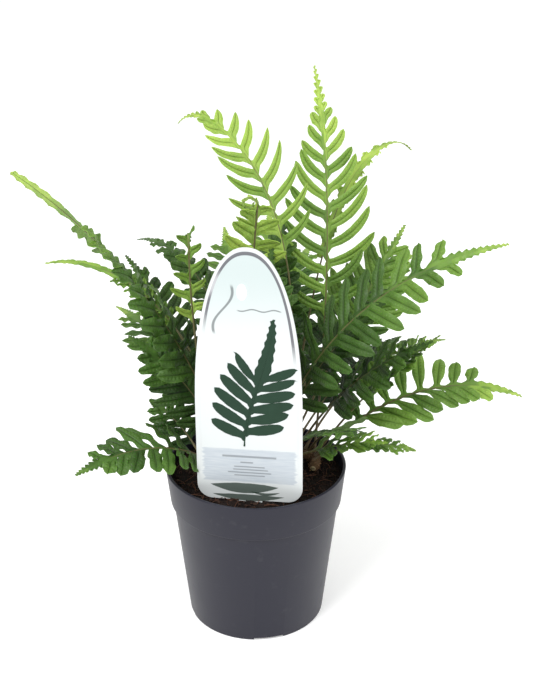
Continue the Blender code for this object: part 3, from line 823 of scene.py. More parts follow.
def end_tree(nodes, geometry):
    leave = nodes.tree.nodes.new("NodeGroupOutput")
    nodes.feed(leave.inputs[0], geometry)


def kept(piece, slot, *replaced):
    """Attaches the piece to the root body and hides the part's nodes that it replaces. The slot is not
    used.
    """
    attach(piece, "root")
    if replaced:
        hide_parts(*replaced)
    return piece


# ---- fronds ----
# Points along and across each pinna, and along the stalk.
PINNA_ROWS = 17
PINNA_COLUMNS = 7
STALK_STEPS = 90
# How far a tip may lie outside the part's own box before the step fails.
TIP_SLACK = 0.004


def frond_tree():
    """Grows one frond along a path that carries its own along and across directions."""
    tree, nodes, given = new_tree("fern_frond", (
        ("Leaf", "Material", None),
        ("Stalk", "Material", None),
        ("Length", "Float", 0.2),
        ("Stipe share", "Float", 0.4),
        ("Pairs", "Int", 10),
        ("Tail lobes", "Int", 7),
        ("Pinna length", "Float", 0.03),
        ("Taper", "Float", 1.8),
        ("Fill", "Float", 0.65),
        ("Point", "Float", 0.3),
        ("Base angle", "Float", 1.1),
        ("Tip angle", "Float", 0.8),
        ("Bend", "Float", 0.35),
        ("Lift", "Float", 0.1),
        ("Curl", "Float", 0.2),
        ("Wave", "Float", 0.1),
        ("Waist", "Float", 0.2),
        ("Spoon", "Float", 0.0),
        ("Cup", "Float", 0.16),
        ("Groove", "Float", 0.0002),
        ("Wing", "Float", 0.0011),
        ("Tail from", "Float", BLADE_TAIL),
        ("Tail neck", "Float", 0.0),
        ("Tail half width", "Float", 0.0035),
        ("Tail blunt", "Float", 0.75),
        ("Teeth", "Float", 0.4),
        ("Loose", "Float", 1.0),
        ("Skew", "Float", 0.0),
        ("Web", "Float", 0.20),
        ("Thickness", "Float", 0.00035),
        ("Stipe radius", "Float", 0.0009),
        ("Thinning", "Float", 0.75),
        ("Fresh", "Float", 0.4),
        ("Gain", "Float", 0.3),
        ("Seed", "Int", 1),
    ))
    pairs = given["Pairs"]
    tail = given["Tail lobes"]
    length = given["Length"]
    stipe = given["Stipe share"]
    seed = given["Seed"]
    tail_from = given["Tail from"]
    loose = given["Loose"]
    path = nodes.add("GeometryNodeMeshToCurve", None, given["Geometry"])

    def blade_share(x):
        """Share of the blade at a place counted in pinnae; the tail's lobes crowd together."""
        low = x.least(pairs) / pairs * tail_from
        late = ((x - pairs) / tail).clamped()
        return low + (1 - (1 - late) ** 1.35) * (1 - tail_from)

    def sampled(vector, share):
        node = nodes.node(
            "GeometryNodeSampleCurve", {"mode": "FACTOR", "data_type": "FLOAT_VECTOR"},
            curves=path, value=vector, factor=share,
        )
        return nodes.output(node, "Value"), nodes.output(node, "Position")

    # One point for each pinna, left and right in turn.
    spots = nodes.add("GeometryNodePoints", None, (pairs + tail) * 2)
    index = nodes.add("GeometryNodeInputIndex")
    right = index % 2
    spots = nodes.store(spots, "place_in_row", (index / 2).floor() + 0.5 + right * SIDE_LAG)
    spots = nodes.store(spots, "side", right * 2 - 1)
    spots = nodes.store(spots, "swing", nodes.chance(-1.0, 1.0, seed + 1, identity=index))
    spots = nodes.store(spots, "droop", nodes.chance(-1.0, 1.0, seed + 2, identity=index))
    spots = nodes.store(spots, "phase", nodes.chance(0.0, 6.28, seed + 3, identity=index))
    spots = nodes.store(spots, "growth", nodes.chance(-1.0, 1.0, seed + 4, identity=index))
    rows = PINNA_ROWS
    sheet = nodes.add("GeometryNodeMeshGrid", None, 1.0, 1.0, PINNA_COLUMNS, rows)
    blade = nodes.add("GeometryNodeInstanceOnPoints", None, points=spots, instance=sheet)
    blade = nodes.add("GeometryNodeRealizeInstances", None, blade)
    # Across the pinna from -1 to 1, and its row from 0 at the rachis to 1 at its end.
    flat_x, flat_y, _ = nodes.separate(nodes.add("GeometryNodeInputPosition"))
    blade = nodes.store(blade, "sheet_across", flat_x * 2)
    blade = nodes.store(blade, "sheet_row", flat_y + 0.5)
    across = nodes.field("sheet_across")
    row = nodes.field("sheet_row") * (rows - 1)
    x = nodes.field("place_in_row")
    side = nodes.field("side")
    v = blade_share(x)
    own_v = blade_share(x + across * 0.5)
    blade_length = length * (1 - stipe)
    base_a = (own_v - v) * blade_length
    step = (blade_share(x + 0.5) - blade_share(x - 0.5)) * blade_length
    late = ((v - 0.22) / 0.78).clamped()
    early = 1 - (1 - v / 0.22).clamped() * 0.18
    size = given["Pinna length"] * early * (1 - late ** 2.2) ** given["Taper"]
    size = size * (1 + nodes.field("growth") * 0.07 * loose)

    def tail_width(share):
        """Half width of the toothed tail, wide where it starts and pointed at its end."""
        left = ((1 - share) / (1 - tail_from)).clamped()
        neck = given["Tail neck"] * left.ramp(0.55, 1.0)
        return given["Tail half width"] * left ** given["Tail blunt"] * (1 - neck)

    in_tail = x > pairs
    size = size + (tail_width(v) * given["Teeth"] + 0.0004 - size) * in_tail
    wing_grown = own_v.ramp(tail_from * 0.75, tail_from * 1.04)
    solid_width = tail_width(own_v) * (1 - given["Teeth"]) + 0.0002
    own_wing = given["Wing"] + (solid_width - given["Wing"]) * wing_grown
    free = ((row - 1) / (rows - 2)).most(0)
    tau = free ** 1.15
    beyond = tau * size
    # How far the vertex has left the wing and belongs to its own pinna.
    left = 1 - (beyond / (step * given["Web"])).clamped()
    own = (1 - left * left).root()
    angle = given["Base angle"] + (given["Tip angle"] - given["Base angle"]) * v
    angle = angle + nodes.field("swing") * 0.08 * loose + given["Skew"] * side
    bend = given["Bend"] * (1 + nodes.field("droop") * 0.25)
    # The pinna's centre line, an arc in the blade's plane over an arc out of it.
    lift = given["Lift"] + nodes.field("droop") * 0.08 * loose
    curl = given["Curl"] + nodes.field("swing") * 0.20 * loose + 0.003
    level = ((lift + curl * tau).sin() - lift.sin()) / curl
    high = (lift.cos() - (lift + curl * tau).cos()) / curl * size
    turn = angle - bend * level
    forward = (angle.sin() - turn.sin()) / bend * size
    outward = (turn.cos() - angle.cos()) / bend * size
    sharp = 4.2 - given["Point"] * 2.9
    profile = (1 - tau ** sharp).most(0) ** (0.55 + given["Point"] * 0.25)
    profile = profile * (1 + given["Spoon"] * (tau - 0.4))
    profile = profile * (1 - given["Waist"] * (1 - (tau / 0.42).clamped()) ** 1.5)
    ripple = (tau * 31 + nodes.field("phase")).sin() * 0.025
    half = step * 0.5 * given["Fill"] * profile * (1 + ripple) + 0.00012
    half = half.least(size * 0.42 + 0.0002)
    a = own * (forward + across * half * turn.sin()) + (1 - own) * base_a
    on_wing = row.least(1)
    b = on_wing * own_wing + own * (outward - across * half * turn.cos()) + (1 - own) * outward
    edge = abs(across)
    wave = (tau * 13 + nodes.field("phase") + across * 0.9).sin() * edge * edge
    wave = wave * half * given["Wave"] * 2.0
    bulge = (edge * math.pi).sin() * half * given["Cup"] - edge.ramp(0.25, 0.0) * given["Groove"]
    tilt = across * half * (0.10 + nodes.field("droop") * 0.16) * loose
    raised = own * (high + wave + bulge + tilt)
    share = stipe + v * (1 - stipe)
    own_share = stipe + own_v * (1 - stipe)
    along_field = nodes.field("along", "FLOAT_VECTOR")
    across_field = nodes.field("across", "FLOAT_VECTOR")
    along_k, place_k = sampled(along_field, share)
    across_k, _ = sampled(across_field, share)
    across_o, place_o = sampled(across_field, own_share)

    def moved(start, *steps):
        for vector, distance in steps:
            start = nodes.vector("ADD", start, nodes.vector("SCALE", vector, scale=distance))
        return start

    up_k = nodes.vector("CROSS_PRODUCT", across_k, along_k)
    rigid = moved(place_k, (along_k, a), (across_k, side * b), (up_k, raised))
    ribbon = moved(place_o, (across_o, side * b), (up_k, raised))
    blade = nodes.add(
        "GeometryNodeSetPosition", None, geometry=blade, position=nodes.blend(own, ribbon, rigid),
    )
    spread = nodes.combine(across * own + (1 - own) * 0.45, tau, size)
    blade = nodes.store(blade, "blade", spread, "FLOAT_VECTOR")
    fresh = given["Fresh"] + given["Gain"] * v ** 2.0 + tau * 0.06
    blade = nodes.store(
        blade, "tone", nodes.combine(fresh, nodes.field("growth") * 0.5 + 0.5, 0.0), "FLOAT_VECTOR",
    )
    blade = nodes.add("GeometryNodeFlipFaces", None, blade, side > 0)
    blade = nodes.add("GeometryNodeMergeByDistance", None, geometry=blade, distance=0.00002)
    normal = nodes.add("GeometryNodeInputNormal")
    thick = nodes.node(
        "GeometryNodeExtrudeMesh", {"mode": "FACES"}, mesh=blade,
        offset=normal, offset_scale=given["Thickness"], individual=False,
    )
    fresh_x, chance_x, _ = nodes.separate(nodes.field("tone", "FLOAT_VECTOR"))
    lower = nodes.store(blade, "tone", nodes.combine(fresh_x, chance_x, 1.0), "FLOAT_VECTOR")
    lower = nodes.add("GeometryNodeFlipFaces", None, lower)
    shell = nodes.joined(Socket(nodes, thick.outputs[0]), lower)
    blade = nodes.add("GeometryNodeMergeByDistance", None, geometry=shell, distance=0.00001)
    blade = nodes.add("GeometryNodeSetMaterial", None, geometry=blade, material=given["Leaf"])
    # Stipe and rachis: one tapering stalk, a little swollen at its foot.
    run = nodes.add("GeometryNodeSplineParameter", out="Factor")
    stalk = nodes.store(path, "tone", nodes.combine(given["Fresh"], run, 0.0), "FLOAT_VECTOR")
    stalk = nodes.add(
        "GeometryNodeResampleCurve", {"mode": "COUNT"}, curve=stalk, count=STALK_STEPS,
    )
    swelling = 1 + run.ramp(0.035, 0.0) * 0.5
    radius = given["Stipe radius"] * (1 - run * given["Thinning"]) * swelling
    ring = nodes.add(
        "GeometryNodeCurvePrimitiveCircle", {"mode": "RADIUS"}, resolution=8, radius=1.0,
    )
    stalk = nodes.add(
        "GeometryNodeCurveToMesh", None, curve=stalk, profile_curve=ring, scale=radius,
        fill_caps=True,
    )
    stalk = nodes.add("GeometryNodeSetMaterial", None, geometry=stalk, material=given["Stalk"])
    end_tree(nodes, nodes.add("GeometryNodeRealizeInstances", None, nodes.joined(blade, stalk)))
    return tree


def path_piece(name, places, along, across):
    """A polyline with the along and across directions kept at its points."""
    mesh = bpy.data.meshes.new(name)
    edges = [(i, i + 1) for i in range(len(places) - 1)]
    mesh.from_pydata([tuple(map(float, point)) for point in places], edges, [])
    for key, vectors in (("along", along), ("across", across)):
        layer = mesh.attributes.new(key, "FLOAT_VECTOR", "POINT")
        layer.data.foreach_set("vector", np.asarray(vectors, np.float32).ravel())
    piece = bpy.data.objects.new(name, mesh)
    bpy.context.scene.collection.objects.link(piece)
    return piece


def grow_frond(frond, tree, leaf, stalk, thickness, seed):
    shares = np.linspace(0, 1, STEPS + 1)
    along, across = direction(frond, shares)
    places = growth_curve(frond)
    low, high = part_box(f"frond_{frond.name}")
    tip = Vector(places[-1])
    spans = zip(low, tip, high)
    if any(not least - TIP_SLACK <= at <= most + TIP_SLACK for least, at, most in spans):
        raise RuntimeError(f"frond {frond.name} does not end inside its own node")
    piece = path_piece(f"fern_{frond.name}", places, along, across)
    look = LOOKS[frond.look]
    run_tree(piece, tree, **{
        "Leaf": leaf,
        "Stalk": stalk,
        "Thickness": thickness,
        "Length": frond.length,
        "Stipe share": frond.stipe,
        "Pairs": frond.pairs,
        "Tail lobes": 10 if frond.look == "mature" else 7,
        "Pinna length": frond.spread * look.reach,
        "Taper": look.taper,
        "Wing": look.wing / 1000,
        "Tail from": look.tail_from,
        "Tail blunt": look.blunt,
        "Tail neck": look.neck,
        "Skew": math.radians(look.skew),
        "Teeth": look.teeth,
        "Fill": look.fill,
        "Point": look.point,
        "Base angle": math.radians(look.base_angle),
        "Tip angle": math.radians(look.tip_angle),
        "Bend": math.radians(look.bend),
        "Lift": math.radians(look.lift),
        "Curl": math.radians(look.curl),
        "Wave": look.wave,
        "Waist": look.waist,
        "Spoon": look.spoon,
        "Tail half width": look.tail / 1000,
        "Loose": look.loose,
        "Thinning": 0.25 if frond.name in COILS else 0.75,
        "Fresh": look.fresh,
        "Gain": look.gain,
        "Seed": seed * 37,
    })
    smoothed(piece, 50)
    return piece


# ---- settings ----
def colour_property(name, description, default):
    return FloatVectorProperty(
        name=name, description=description, default=default,
        subtype="COLOR", size=3, min=0.0, max=1.0,
    )


class PotSettings(bpy.types.PropertyGroup):
    sides: IntProperty(name="Sides", description="Facets round the pot", default=160, min=24)
    colour: colour_property("Colour", "Anthracite plastic", (0.013, 0.013, 0.022))


class SoilSettings(bpy.types.PropertyGroup):
    roughness: FloatProperty(
        name="Roughness", description="Height of the clods", default=0.0016,
        unit="LENGTH", min=0.0,
    )
    crumbs: IntProperty(name="Crumbs", description="Loose crumbs on the mix", default=900)
    fibres: IntProperty(name="Fibres", description="Loose fibres on the mix", default=260)
    dark: colour_property("Dark", "Damp peat", (0.009, 0.0055, 0.0045))
    light: colour_property("Light", "Dry peat", (0.034, 0.019, 0.014))


class LabelSettings(bpy.types.PropertyGroup):
    card: colour_property("Card", "White card", (0.58, 0.61, 0.61))
    tint: colour_property("Tint", "Pale tint of the arch", (0.43, 0.505, 0.50))
    silver: colour_property("Silver", "Arched line", (0.40, 0.40, 0.42))
    silver_core: colour_property("Silver core", "Dark middle of the line", (0.040, 0.038, 0.052))
    wash: colour_property("Wash", "Grey-blue wash", (0.33, 0.38, 0.44))
    ink: colour_property("Ink", "Grey ink of the bars", (0.070, 0.080, 0.085))
    print_green: colour_property("Print", "Green of the printed frond", (0.015, 0.036, 0.022))


class FrondSettings(bpy.types.PropertyGroup):
    thickness: FloatProperty(
        name="Leaf thickness", description="Thickness of the blade", default=0.00035,
        unit="LENGTH", min=0.0001,
    )
    dark: colour_property("Dark", "Old leaf", (0.010, 0.030, 0.004))
    middle: colour_property("Middle", "Grown leaf", (0.055, 0.122, 0.017))
    bright: colour_property("Bright", "Fresh leaf", (0.150, 0.265, 0.038))
    tip: colour_property("Tip", "Newest growth", (0.360, 0.500, 0.085))
    under: colour_property("Under", "Lower face", (0.160, 0.230, 0.090))
    stalk: colour_property("Stalk", "Rachis", (0.105, 0.095, 0.030))
    stalk_foot: colour_property("Stalk foot", "Stipe near the rhizome", (0.120, 0.080, 0.036))


class StageSettings(bpy.types.PropertyGroup):
    sky: FloatProperty(name="Sky", description="Strength of the even white light", default=0.80)
    floor: colour_property("Floor", "Pale floor", (0.94, 0.94, 0.94))
    glow: FloatProperty(name="Glow", description="Light given off by the floor", default=0.25)
    key: FloatProperty(name="Key", description="Power of the key light", default=24.0)


# ---- operators ----
SOIL_RINGS = 64
SOIL_SIDES = 192
# The disc that crumbs and fibres lie on, how far it stays off the wall, and the radius that
# its counts are worked out for.
PATCH_RINGS = 12
PATCH_SIDES = 48
PATCH_GAP = 0.0025
STREWN_RADIUS = 0.055
DRAIN_SIDES = 32
RHIZOME_SIDES = 20
RHIZOME_RINGS = 60
# Width of the cut end as a share of the stem's full width.
CUT_END_SHARE = 0.56
SCALES_PER_SQUARE_METRE = 420000.0
# The frond printed on the label: its length, where on the card it starts, how far it stands off.
PRINT_LENGTH = 0.0875
PRINT_START = (-0.0030, 0.0375)
PRINT_LIFT = 0.00012
# Where the camera looks, how far above the level it stands in degrees, and how far off.
CAMERA_TARGET = (0.0094, 0.0, 0.192)
CAMERA_RISE = 24.0
CAMERA_DISTANCE = 0.797
LENS = 64.08
LAMP_TARGET = (0, 0, 0.18)
# Each lamp's place, its side and its share of the key light's power.
LAMPS = (
    ("key", (-0.75, -0.9, 1.5), 0.9, 1.0),
    ("fill", (1.0, -0.7, 0.9), 1.0, 0.3),
)


class FERN_OT_pot(bpy.types.Operator):
    """Turns the pot, rounds its edges and opens its notches and drain holes."""

    bl_idname = "fern.pot"
    bl_label = "Pot"

    def execute(self, context):
        settings = context.scene.fern_pot
        lip = POT_HEIGHT - RIM_DEPTH
        collar_foot = body_radius(COLLAR_LOW)
        inner_lip = lip - (RIM_THICKNESS - POT_WALL)
        # Each corner of the wall, with the radius that rounds it.
        corners = [
            (BASE_RADIUS - FOOT_WIDTH, FOOT_HEIGHT, 0.0004),
            (BASE_RADIUS - FOOT_WIDTH, 0, 0.0006),
            (BASE_RADIUS, 0, 0.0012),
            (collar_foot, COLLAR_LOW, 0.0012),
            (collar_radius(COLLAR_LOW), COLLAR_LOW, 0.0008),
            (collar_radius(POT_HEIGHT), POT_HEIGHT, 0.0007),
            (collar_radius(POT_HEIGHT) - RIM_THICKNESS, POT_HEIGHT, 0.0007),
            (collar_radius(lip) - RIM_THICKNESS, lip, 0.0002),
            (collar_radius(lip) - POT_WALL, inner_lip, 0.0002),
            (collar_radius(SHELF) - POT_WALL, SHELF, 0.0008),
            (body_radius(SHELF) - POT_WALL, SHELF, 0.0006),
            (body_radius(FLOOR) - POT_WALL, FLOOR, 0.0010),
        ]
        profile = [(0, FOOT_HEIGHT)]
        around = [(0, FOOT_HEIGHT), *(corner[:2] for corner in corners), (0, FLOOR)]
        for number, corner in enumerate(corners):
            before, here, after = around[number:number + 3]
            profile += rounded(before, here, after, corner[2])
        profile.append((0, FLOOR))
        plastic = pot_plastic(settings)
        pot = new_piece("nursery_pot", *turned(profile, settings.sides), plastic)
        shapes = []
        start = BASE_RADIUS - FOOT_WIDTH - POT_WALL
        end = BASE_RADIUS + 2 * POT_WALL
        for number in range(NOTCH_COUNT):
            heading = math.radians(NOTCH_HEADING + 360 * number / NOTCH_COUNT)
            outline = []
            for out, side in ((start, -1), (end, -1), (end, 1), (start, 1)):
                across = side * NOTCH_WIDTH / 2
                outline.append((
                    out * math.cos(heading) - across * math.sin(heading),
                    out * math.sin(heading) + across * math.cos(heading),
                ))
            shapes.append(prism(outline, -NOTCH_HEIGHT, NOTCH_HEIGHT))
        for number in range(DRAIN_COUNT):
            heading = math.radians(360 * (number + 0.5) / DRAIN_COUNT)
            outline = []
            for side in range(DRAIN_SIDES):
                angle = 2 * math.pi * side / DRAIN_SIDES
                outline.append((
                    DRAIN_CIRCLE * math.cos(heading) + DRAIN_DIAMETER / 2 * math.cos(angle),
                    DRAIN_CIRCLE * math.sin(heading) + DRAIN_DIAMETER / 2 * math.sin(angle),
                ))
            shapes.append(prism(outline, FOOT_HEIGHT - POT_WALL, FLOOR + POT_WALL))
        points = []
        faces = []
        for more_points, more_faces in shapes:
            first = len(points)
            points += more_points
            faces += [tuple(first + corner for corner in face) for face in more_faces]
        cutter = new_piece("pot_cutter", points, faces)
        modifier = pot.modifiers.new("openings", "BOOLEAN")
        modifier.operation = "DIFFERENCE"
        modifier.solver = "EXACT"
        modifier.object = cutter
        grown_mesh(pot)
        bpy.data.objects.remove(cutter)
        smoothed(pot, 35)
        kept(pot, "pot_plastic", "pot")
        return {"FINISHED"}


def rounded(before, corner, after, radius, steps=5):
    """Points of a small arc that rounds a profile's corner."""
    here = Vector(corner)
    back = Vector(before) - here
    ahead = Vector(after) - here
    reach = min(radius, back.length * 0.45, ahead.length * 0.45)
    start = here + back.normalized() * reach
    end = here + ahead.normalized() * reach
    points = []
    for step in range(steps + 1):
        t = step / steps
        points.append(tuple(start * (1 - t) ** 2 + here * 2 * t * (1 - t) + end * t ** 2))
    return points


class FERN_OT_soil(bpy.types.Operator):
    """Fills the pot with potting mix and strews crumbs and fibres over it."""

    bl_idname = "fern.soil"
    bl_label = "Potting mix"

    def execute(self, context):
        settings = context.scene.fern_soil
        top = POT_HEIGHT - SOIL_DROP
        wall = collar_radius(top) - POT_WALL - GAP
        profile = [
            (0, FLOOR + GAP),
            (body_radius(FLOOR) - POT_WALL - GAP, FLOOR + GAP),
            (body_radius(SHELF) - POT_WALL - GAP, SHELF + GAP),
            (collar_radius(SHELF) - POT_WALL - GAP, SHELF + GAP),
        ]
        for ring in range(SOIL_RINGS):
            radius = wall * (1 - ring / SOIL_RINGS)
            profile.append((radius, soil_height(radius, 0)))
        profile.append((0, soil_height(0, 0)))
        points, faces = turned(profile, SOIL_SIDES)
        clods = []
        for x, y, z in points:
            if z >= top - 0.002:
                inside = 1 - (math.hypot(x, y) / wall) ** 12
                spot = Vector((x, y, 0))
                lift = noise.noise(spot * 120) * 0.8 + noise.noise(spot * 300) * 0.5
                lift += noise.noise(spot * 700) * 0.25
                z += settings.roughness * (lift * (0.35 + 0.65 * inside) - 0.3)
            clods.append((x, y, z))
        soil = new_piece("potting_soil", clods, faces, mix_surface(settings), smooth=70)
        kept(soil, "potting_mix", "potting_mix")
        crumb = strewn("soil_crumb", (0.005, 0.003, 0.003), (0.048, 0.026, 0.018), 0.95)
        fibre = strewn("soil_fibre", (0.022, 0.008, 0.005), (0.130, 0.058, 0.034), 0.85)
        ground = soil_patch()
        strew = strew_tree()
        pieces = run_tree(ground, strew, **{
            "Crumb material": crumb,
            "Fibre material": fibre,
            "Crumbs": settings.crumbs,
            "Fibres": settings.fibres,
            "Seed": 5,
        })
        pieces.name = "soil_crumbs_and_fibres"
        kept(pieces, "potting_mix")
        return {"FINISHED"}


def soil_patch():
    """A disc that follows the top of the mix, for crumbs and fibres to lie on."""
    wall = collar_radius(POT_HEIGHT - SOIL_DROP) - POT_WALL - PATCH_GAP
    points = [(0, 0, soil_height(0, 0))]
    faces = []
    sides = PATCH_SIDES
    rings = PATCH_RINGS
    for ring in range(1, rings + 1):
        radius = wall * ring / rings
        for side in range(sides):
            angle = 2 * math.pi * side / sides
            height = soil_height(radius, 0)
            points.append((radius * math.cos(angle), radius * math.sin(angle), height))
    for side in range(sides):
        after = (side + 1) % sides
        faces.append((0, 1 + side, 1 + after))
        for ring in range(rings - 1):
            low = 1 + ring * sides
            high = low + sides
            faces.append((low + side, high + side, high + after, low + after))
    return new_piece("soil_patch", points, faces)


def strew_tree():
    """Scatters crumbs and short curved fibres over a surface."""
    tree, nodes, given = new_tree("strewn_mix", (
        ("Crumb material", "Material", None),
        ("Fibre material", "Material", None),
        ("Crumbs", "Int", 900),
        ("Fibres", "Int", 260),
        ("Seed", "Int", 1),
    ))
    area = math.pi * STREWN_RADIUS ** 2
    seed = given["Seed"]

    def scattered(count, salt):
        node = nodes.scatter(count / area, seed + salt, given["Geometry"])
        shade = nodes.chance(0.0, 1.0, seed + (salt + 1))
        return nodes.store(nodes.output(node, "Points"), "shade", shade)

    ball = nodes.add("GeometryNodeMeshIcoSphere", None, 1.0, 2)
    rough = nodes.noise(nodes.add("GeometryNodeInputPosition"), 1.6, 1.0)
    normal = nodes.add("GeometryNodeInputNormal")
    ball = nodes.add(
        "GeometryNodeSetPosition", None, geometry=ball,
        offset=nodes.vector("SCALE", normal, scale=(rough - 0.5) * 1.8),
    )
    size = nodes.chance(0.0, 1.0, seed + 3) ** 2.2 * 0.0011 + 0.0004
    any_way = (math.pi, math.pi, 2 * math.pi)
    crumbs = nodes.add(
        "GeometryNodeInstanceOnPoints", None, points=scattered(given["Crumbs"], 11), instance=ball,
        rotation=nodes.chance((0, 0, 0), any_way, seed + 4, "FLOAT_VECTOR"),
        scale=nodes.combine(size * 1.3, size, size * 0.8),
    )
    arc = nodes.add(
        "GeometryNodeCurveQuadraticBezier", None, resolution=6,
        start=(-0.5, 0, 0), middle=(0.0, 0.32, 0.25), end=(0.5, 0, 0.0),
    )
    ring = nodes.add(
        "GeometryNodeCurvePrimitiveCircle", {"mode": "RADIUS"}, resolution=4, radius=0.022,
    )
    strand = nodes.add(
        "GeometryNodeCurveToMesh", None, curve=arc, profile_curve=ring, fill_caps=True,
    )
    lying = ((-0.25, -0.25, 0), (0.35, 0.35, 2 * math.pi))
    tilt = nodes.chance(*lying, seed + 5, "FLOAT_VECTOR")
    span = nodes.chance(0.004, 0.012, seed + 6)
    fibres = nodes.add(
        "GeometryNodeInstanceOnPoints", None, points=scattered(given["Fibres"], 21),
        instance=strand, rotation=tilt, scale=nodes.combine(span, span, span * 0.9),
    )
    crumbs = nodes.finished(crumbs, given["Crumb material"])
    fibres = nodes.finished(fibres, given["Fibre material"])
    end_tree(nodes, nodes.joined(crumbs, fibres))
    return tree


class FERN_OT_rhizomes(bpy.types.Operator):
    """Lays the creeping stems on the mix, with papery scales over them."""

    bl_idname = "fern.rhizomes"
    bl_label = "Rhizomes"

    def execute(self, context):
        bark = strewn("rhizome_bark", (0.035, 0.018, 0.009), (0.190, 0.110, 0.050), 0.8)
        scale = strewn("rhizome_scale", (0.060, 0.026, 0.012), (0.300, 0.170, 0.080), 0.75)
        tree = scale_tree()
        for number, name in enumerate(RHIZOMES):
            stem = rhizome_skin(name, bark)
            kept(stem, "rhizome_skin", f"rhizome_{name}")
            coat = bpy.data.objects.new(f"scales_{name}", stem.data.copy())
            context.scene.collection.objects.link(coat)
            run_tree(coat, tree, **{"Scale material": scale, "Seed": number + 3})
            kept(coat, "rhizome_skin")
        return {"FINISHED"}


def cut_surface(centre, across):
    """A pale cut end with two dark strands."""
    made, nodes, shader = material("rhizome_cut", 0.7, specular_ior_level=0.2)
    where = place(nodes)
    dots = 0
    for side in (-1, 1):
        spot = centre + across * side * 0.0006
        dots = nodes.vector("DISTANCE", where, tuple(spot), out="Value").ramp(0.0005, 0.0003) + dots
    flesh = nodes.mix(nodes.noise(where, 900.0), (0.24, 0.19, 0.10), (0.40, 0.33, 0.19))
    nodes.feed(shader.inputs["Base Color"], nodes.mix(dots, flesh, (0.02, 0.015, 0.01)))
    return made


def rhizome_skin(name, bark):
    sides = RHIZOME_SIDES
    rings = RHIZOME_RINGS
    points = []
    faces = []
    for ring in range(rings + 1):
        share = ring / rings
        ahead = rhizome_place(name, min(1, share + 0.01))
        ahead = ahead - rhizome_place(name, max(0, share - 0.01))
        across = Vector((ahead.y, -ahead.x, 0)).normalized()
        end = min(1, (1 - share) * 14) ** 0.5 * min(1, CUT_END_SHARE + share * 7)
        for side in range(sides):
            angle = 2 * math.pi * side / sides
            out = across * math.cos(angle) + Vector((0, 0, math.sin(angle)))
            spot = rhizome_place(name, share)
            lump = 1 + 0.10 * noise.noise((spot + out * 0.004) * 260)
            points.append(spot + rhizome_radius(share) * end * lump * out * 0.94)
    for ring in range(rings):
        for side in range(sides):
            after = (side + 1) % sides
            low = ring * sides
            high = low + sides
            faces.append((low + side, high + side, high + after, low + after))
    faces.append(tuple(range(sides)))
    last = len(points)
    points.append(rhizome_place(name, 1))
    base = rings * sides
    faces += [(base + side, last, base + (side + 1) % sides) for side in range(sides)]
    stem = new_piece(f"creeping_stem_{name}", points, faces, bark, smooth=60)
    shade = stem.data.attributes.new("shade", "FLOAT", "POINT")
    shade.data.foreach_set("value", [0.35] * len(points))
    # The old end is a bare cut.
    start = rhizome_place(name, 0)
    ahead = rhizome_place(name, 0.02) - start
    stem.data.materials.append(cut_surface(start, Vector((ahead.y, -ahead.x, 0)).normalized()))
    cut = rings * sides
    stem.data.polygons[cut].material_index = 1
    bare = stem.data.attributes.new("bare", "FLOAT", "FACE")
    bare.data.foreach_set("value", [float(number == cut) for number in range(len(faces))])
    return stem


def scale_tree():
    """Covers a stem with small thin overlapping scales."""
    tree, nodes, given = new_tree("papery_scales", (
        ("Scale material", "Material", None),
        ("Seed", "Int", 1),
    ))
    seed = given["Seed"]
    covered = nodes.field("bare") < 0.5
    node = nodes.scatter(SCALES_PER_SQUARE_METRE, seed, given["Geometry"], covered)
    shade = nodes.chance(0.0, 1.0, seed + 1)
    points = nodes.store(nodes.output(node, "Points"), "shade", shade)
    flake = nodes.add(
        "GeometryNodeMeshCone", {"fill_type": "TRIANGLE_FAN"}, vertices=5,
        radius_top=0.0, radius_bottom=0.32, depth=1.3,
    )
    size = nodes.chance(0.0007, 0.0017, seed + 2)
    tilt = nodes.chance((0.9, -0.3, 0), (1.4, 0.3, 6.28), seed + 4, "FLOAT_VECTOR")
    spin = nodes.add(
        "FunctionNodeRotateRotation", {"rotation_space": "LOCAL"},
        nodes.output(node, "Rotation"), tilt,
    )
    flakes = nodes.add(
        "GeometryNodeInstanceOnPoints", None, points=points, instance=flake, rotation=spin,
        scale=nodes.combine(size, size * 0.4, size),
    )
    end_tree(nodes, nodes.finished(flakes, given["Scale material"]))
    return tree


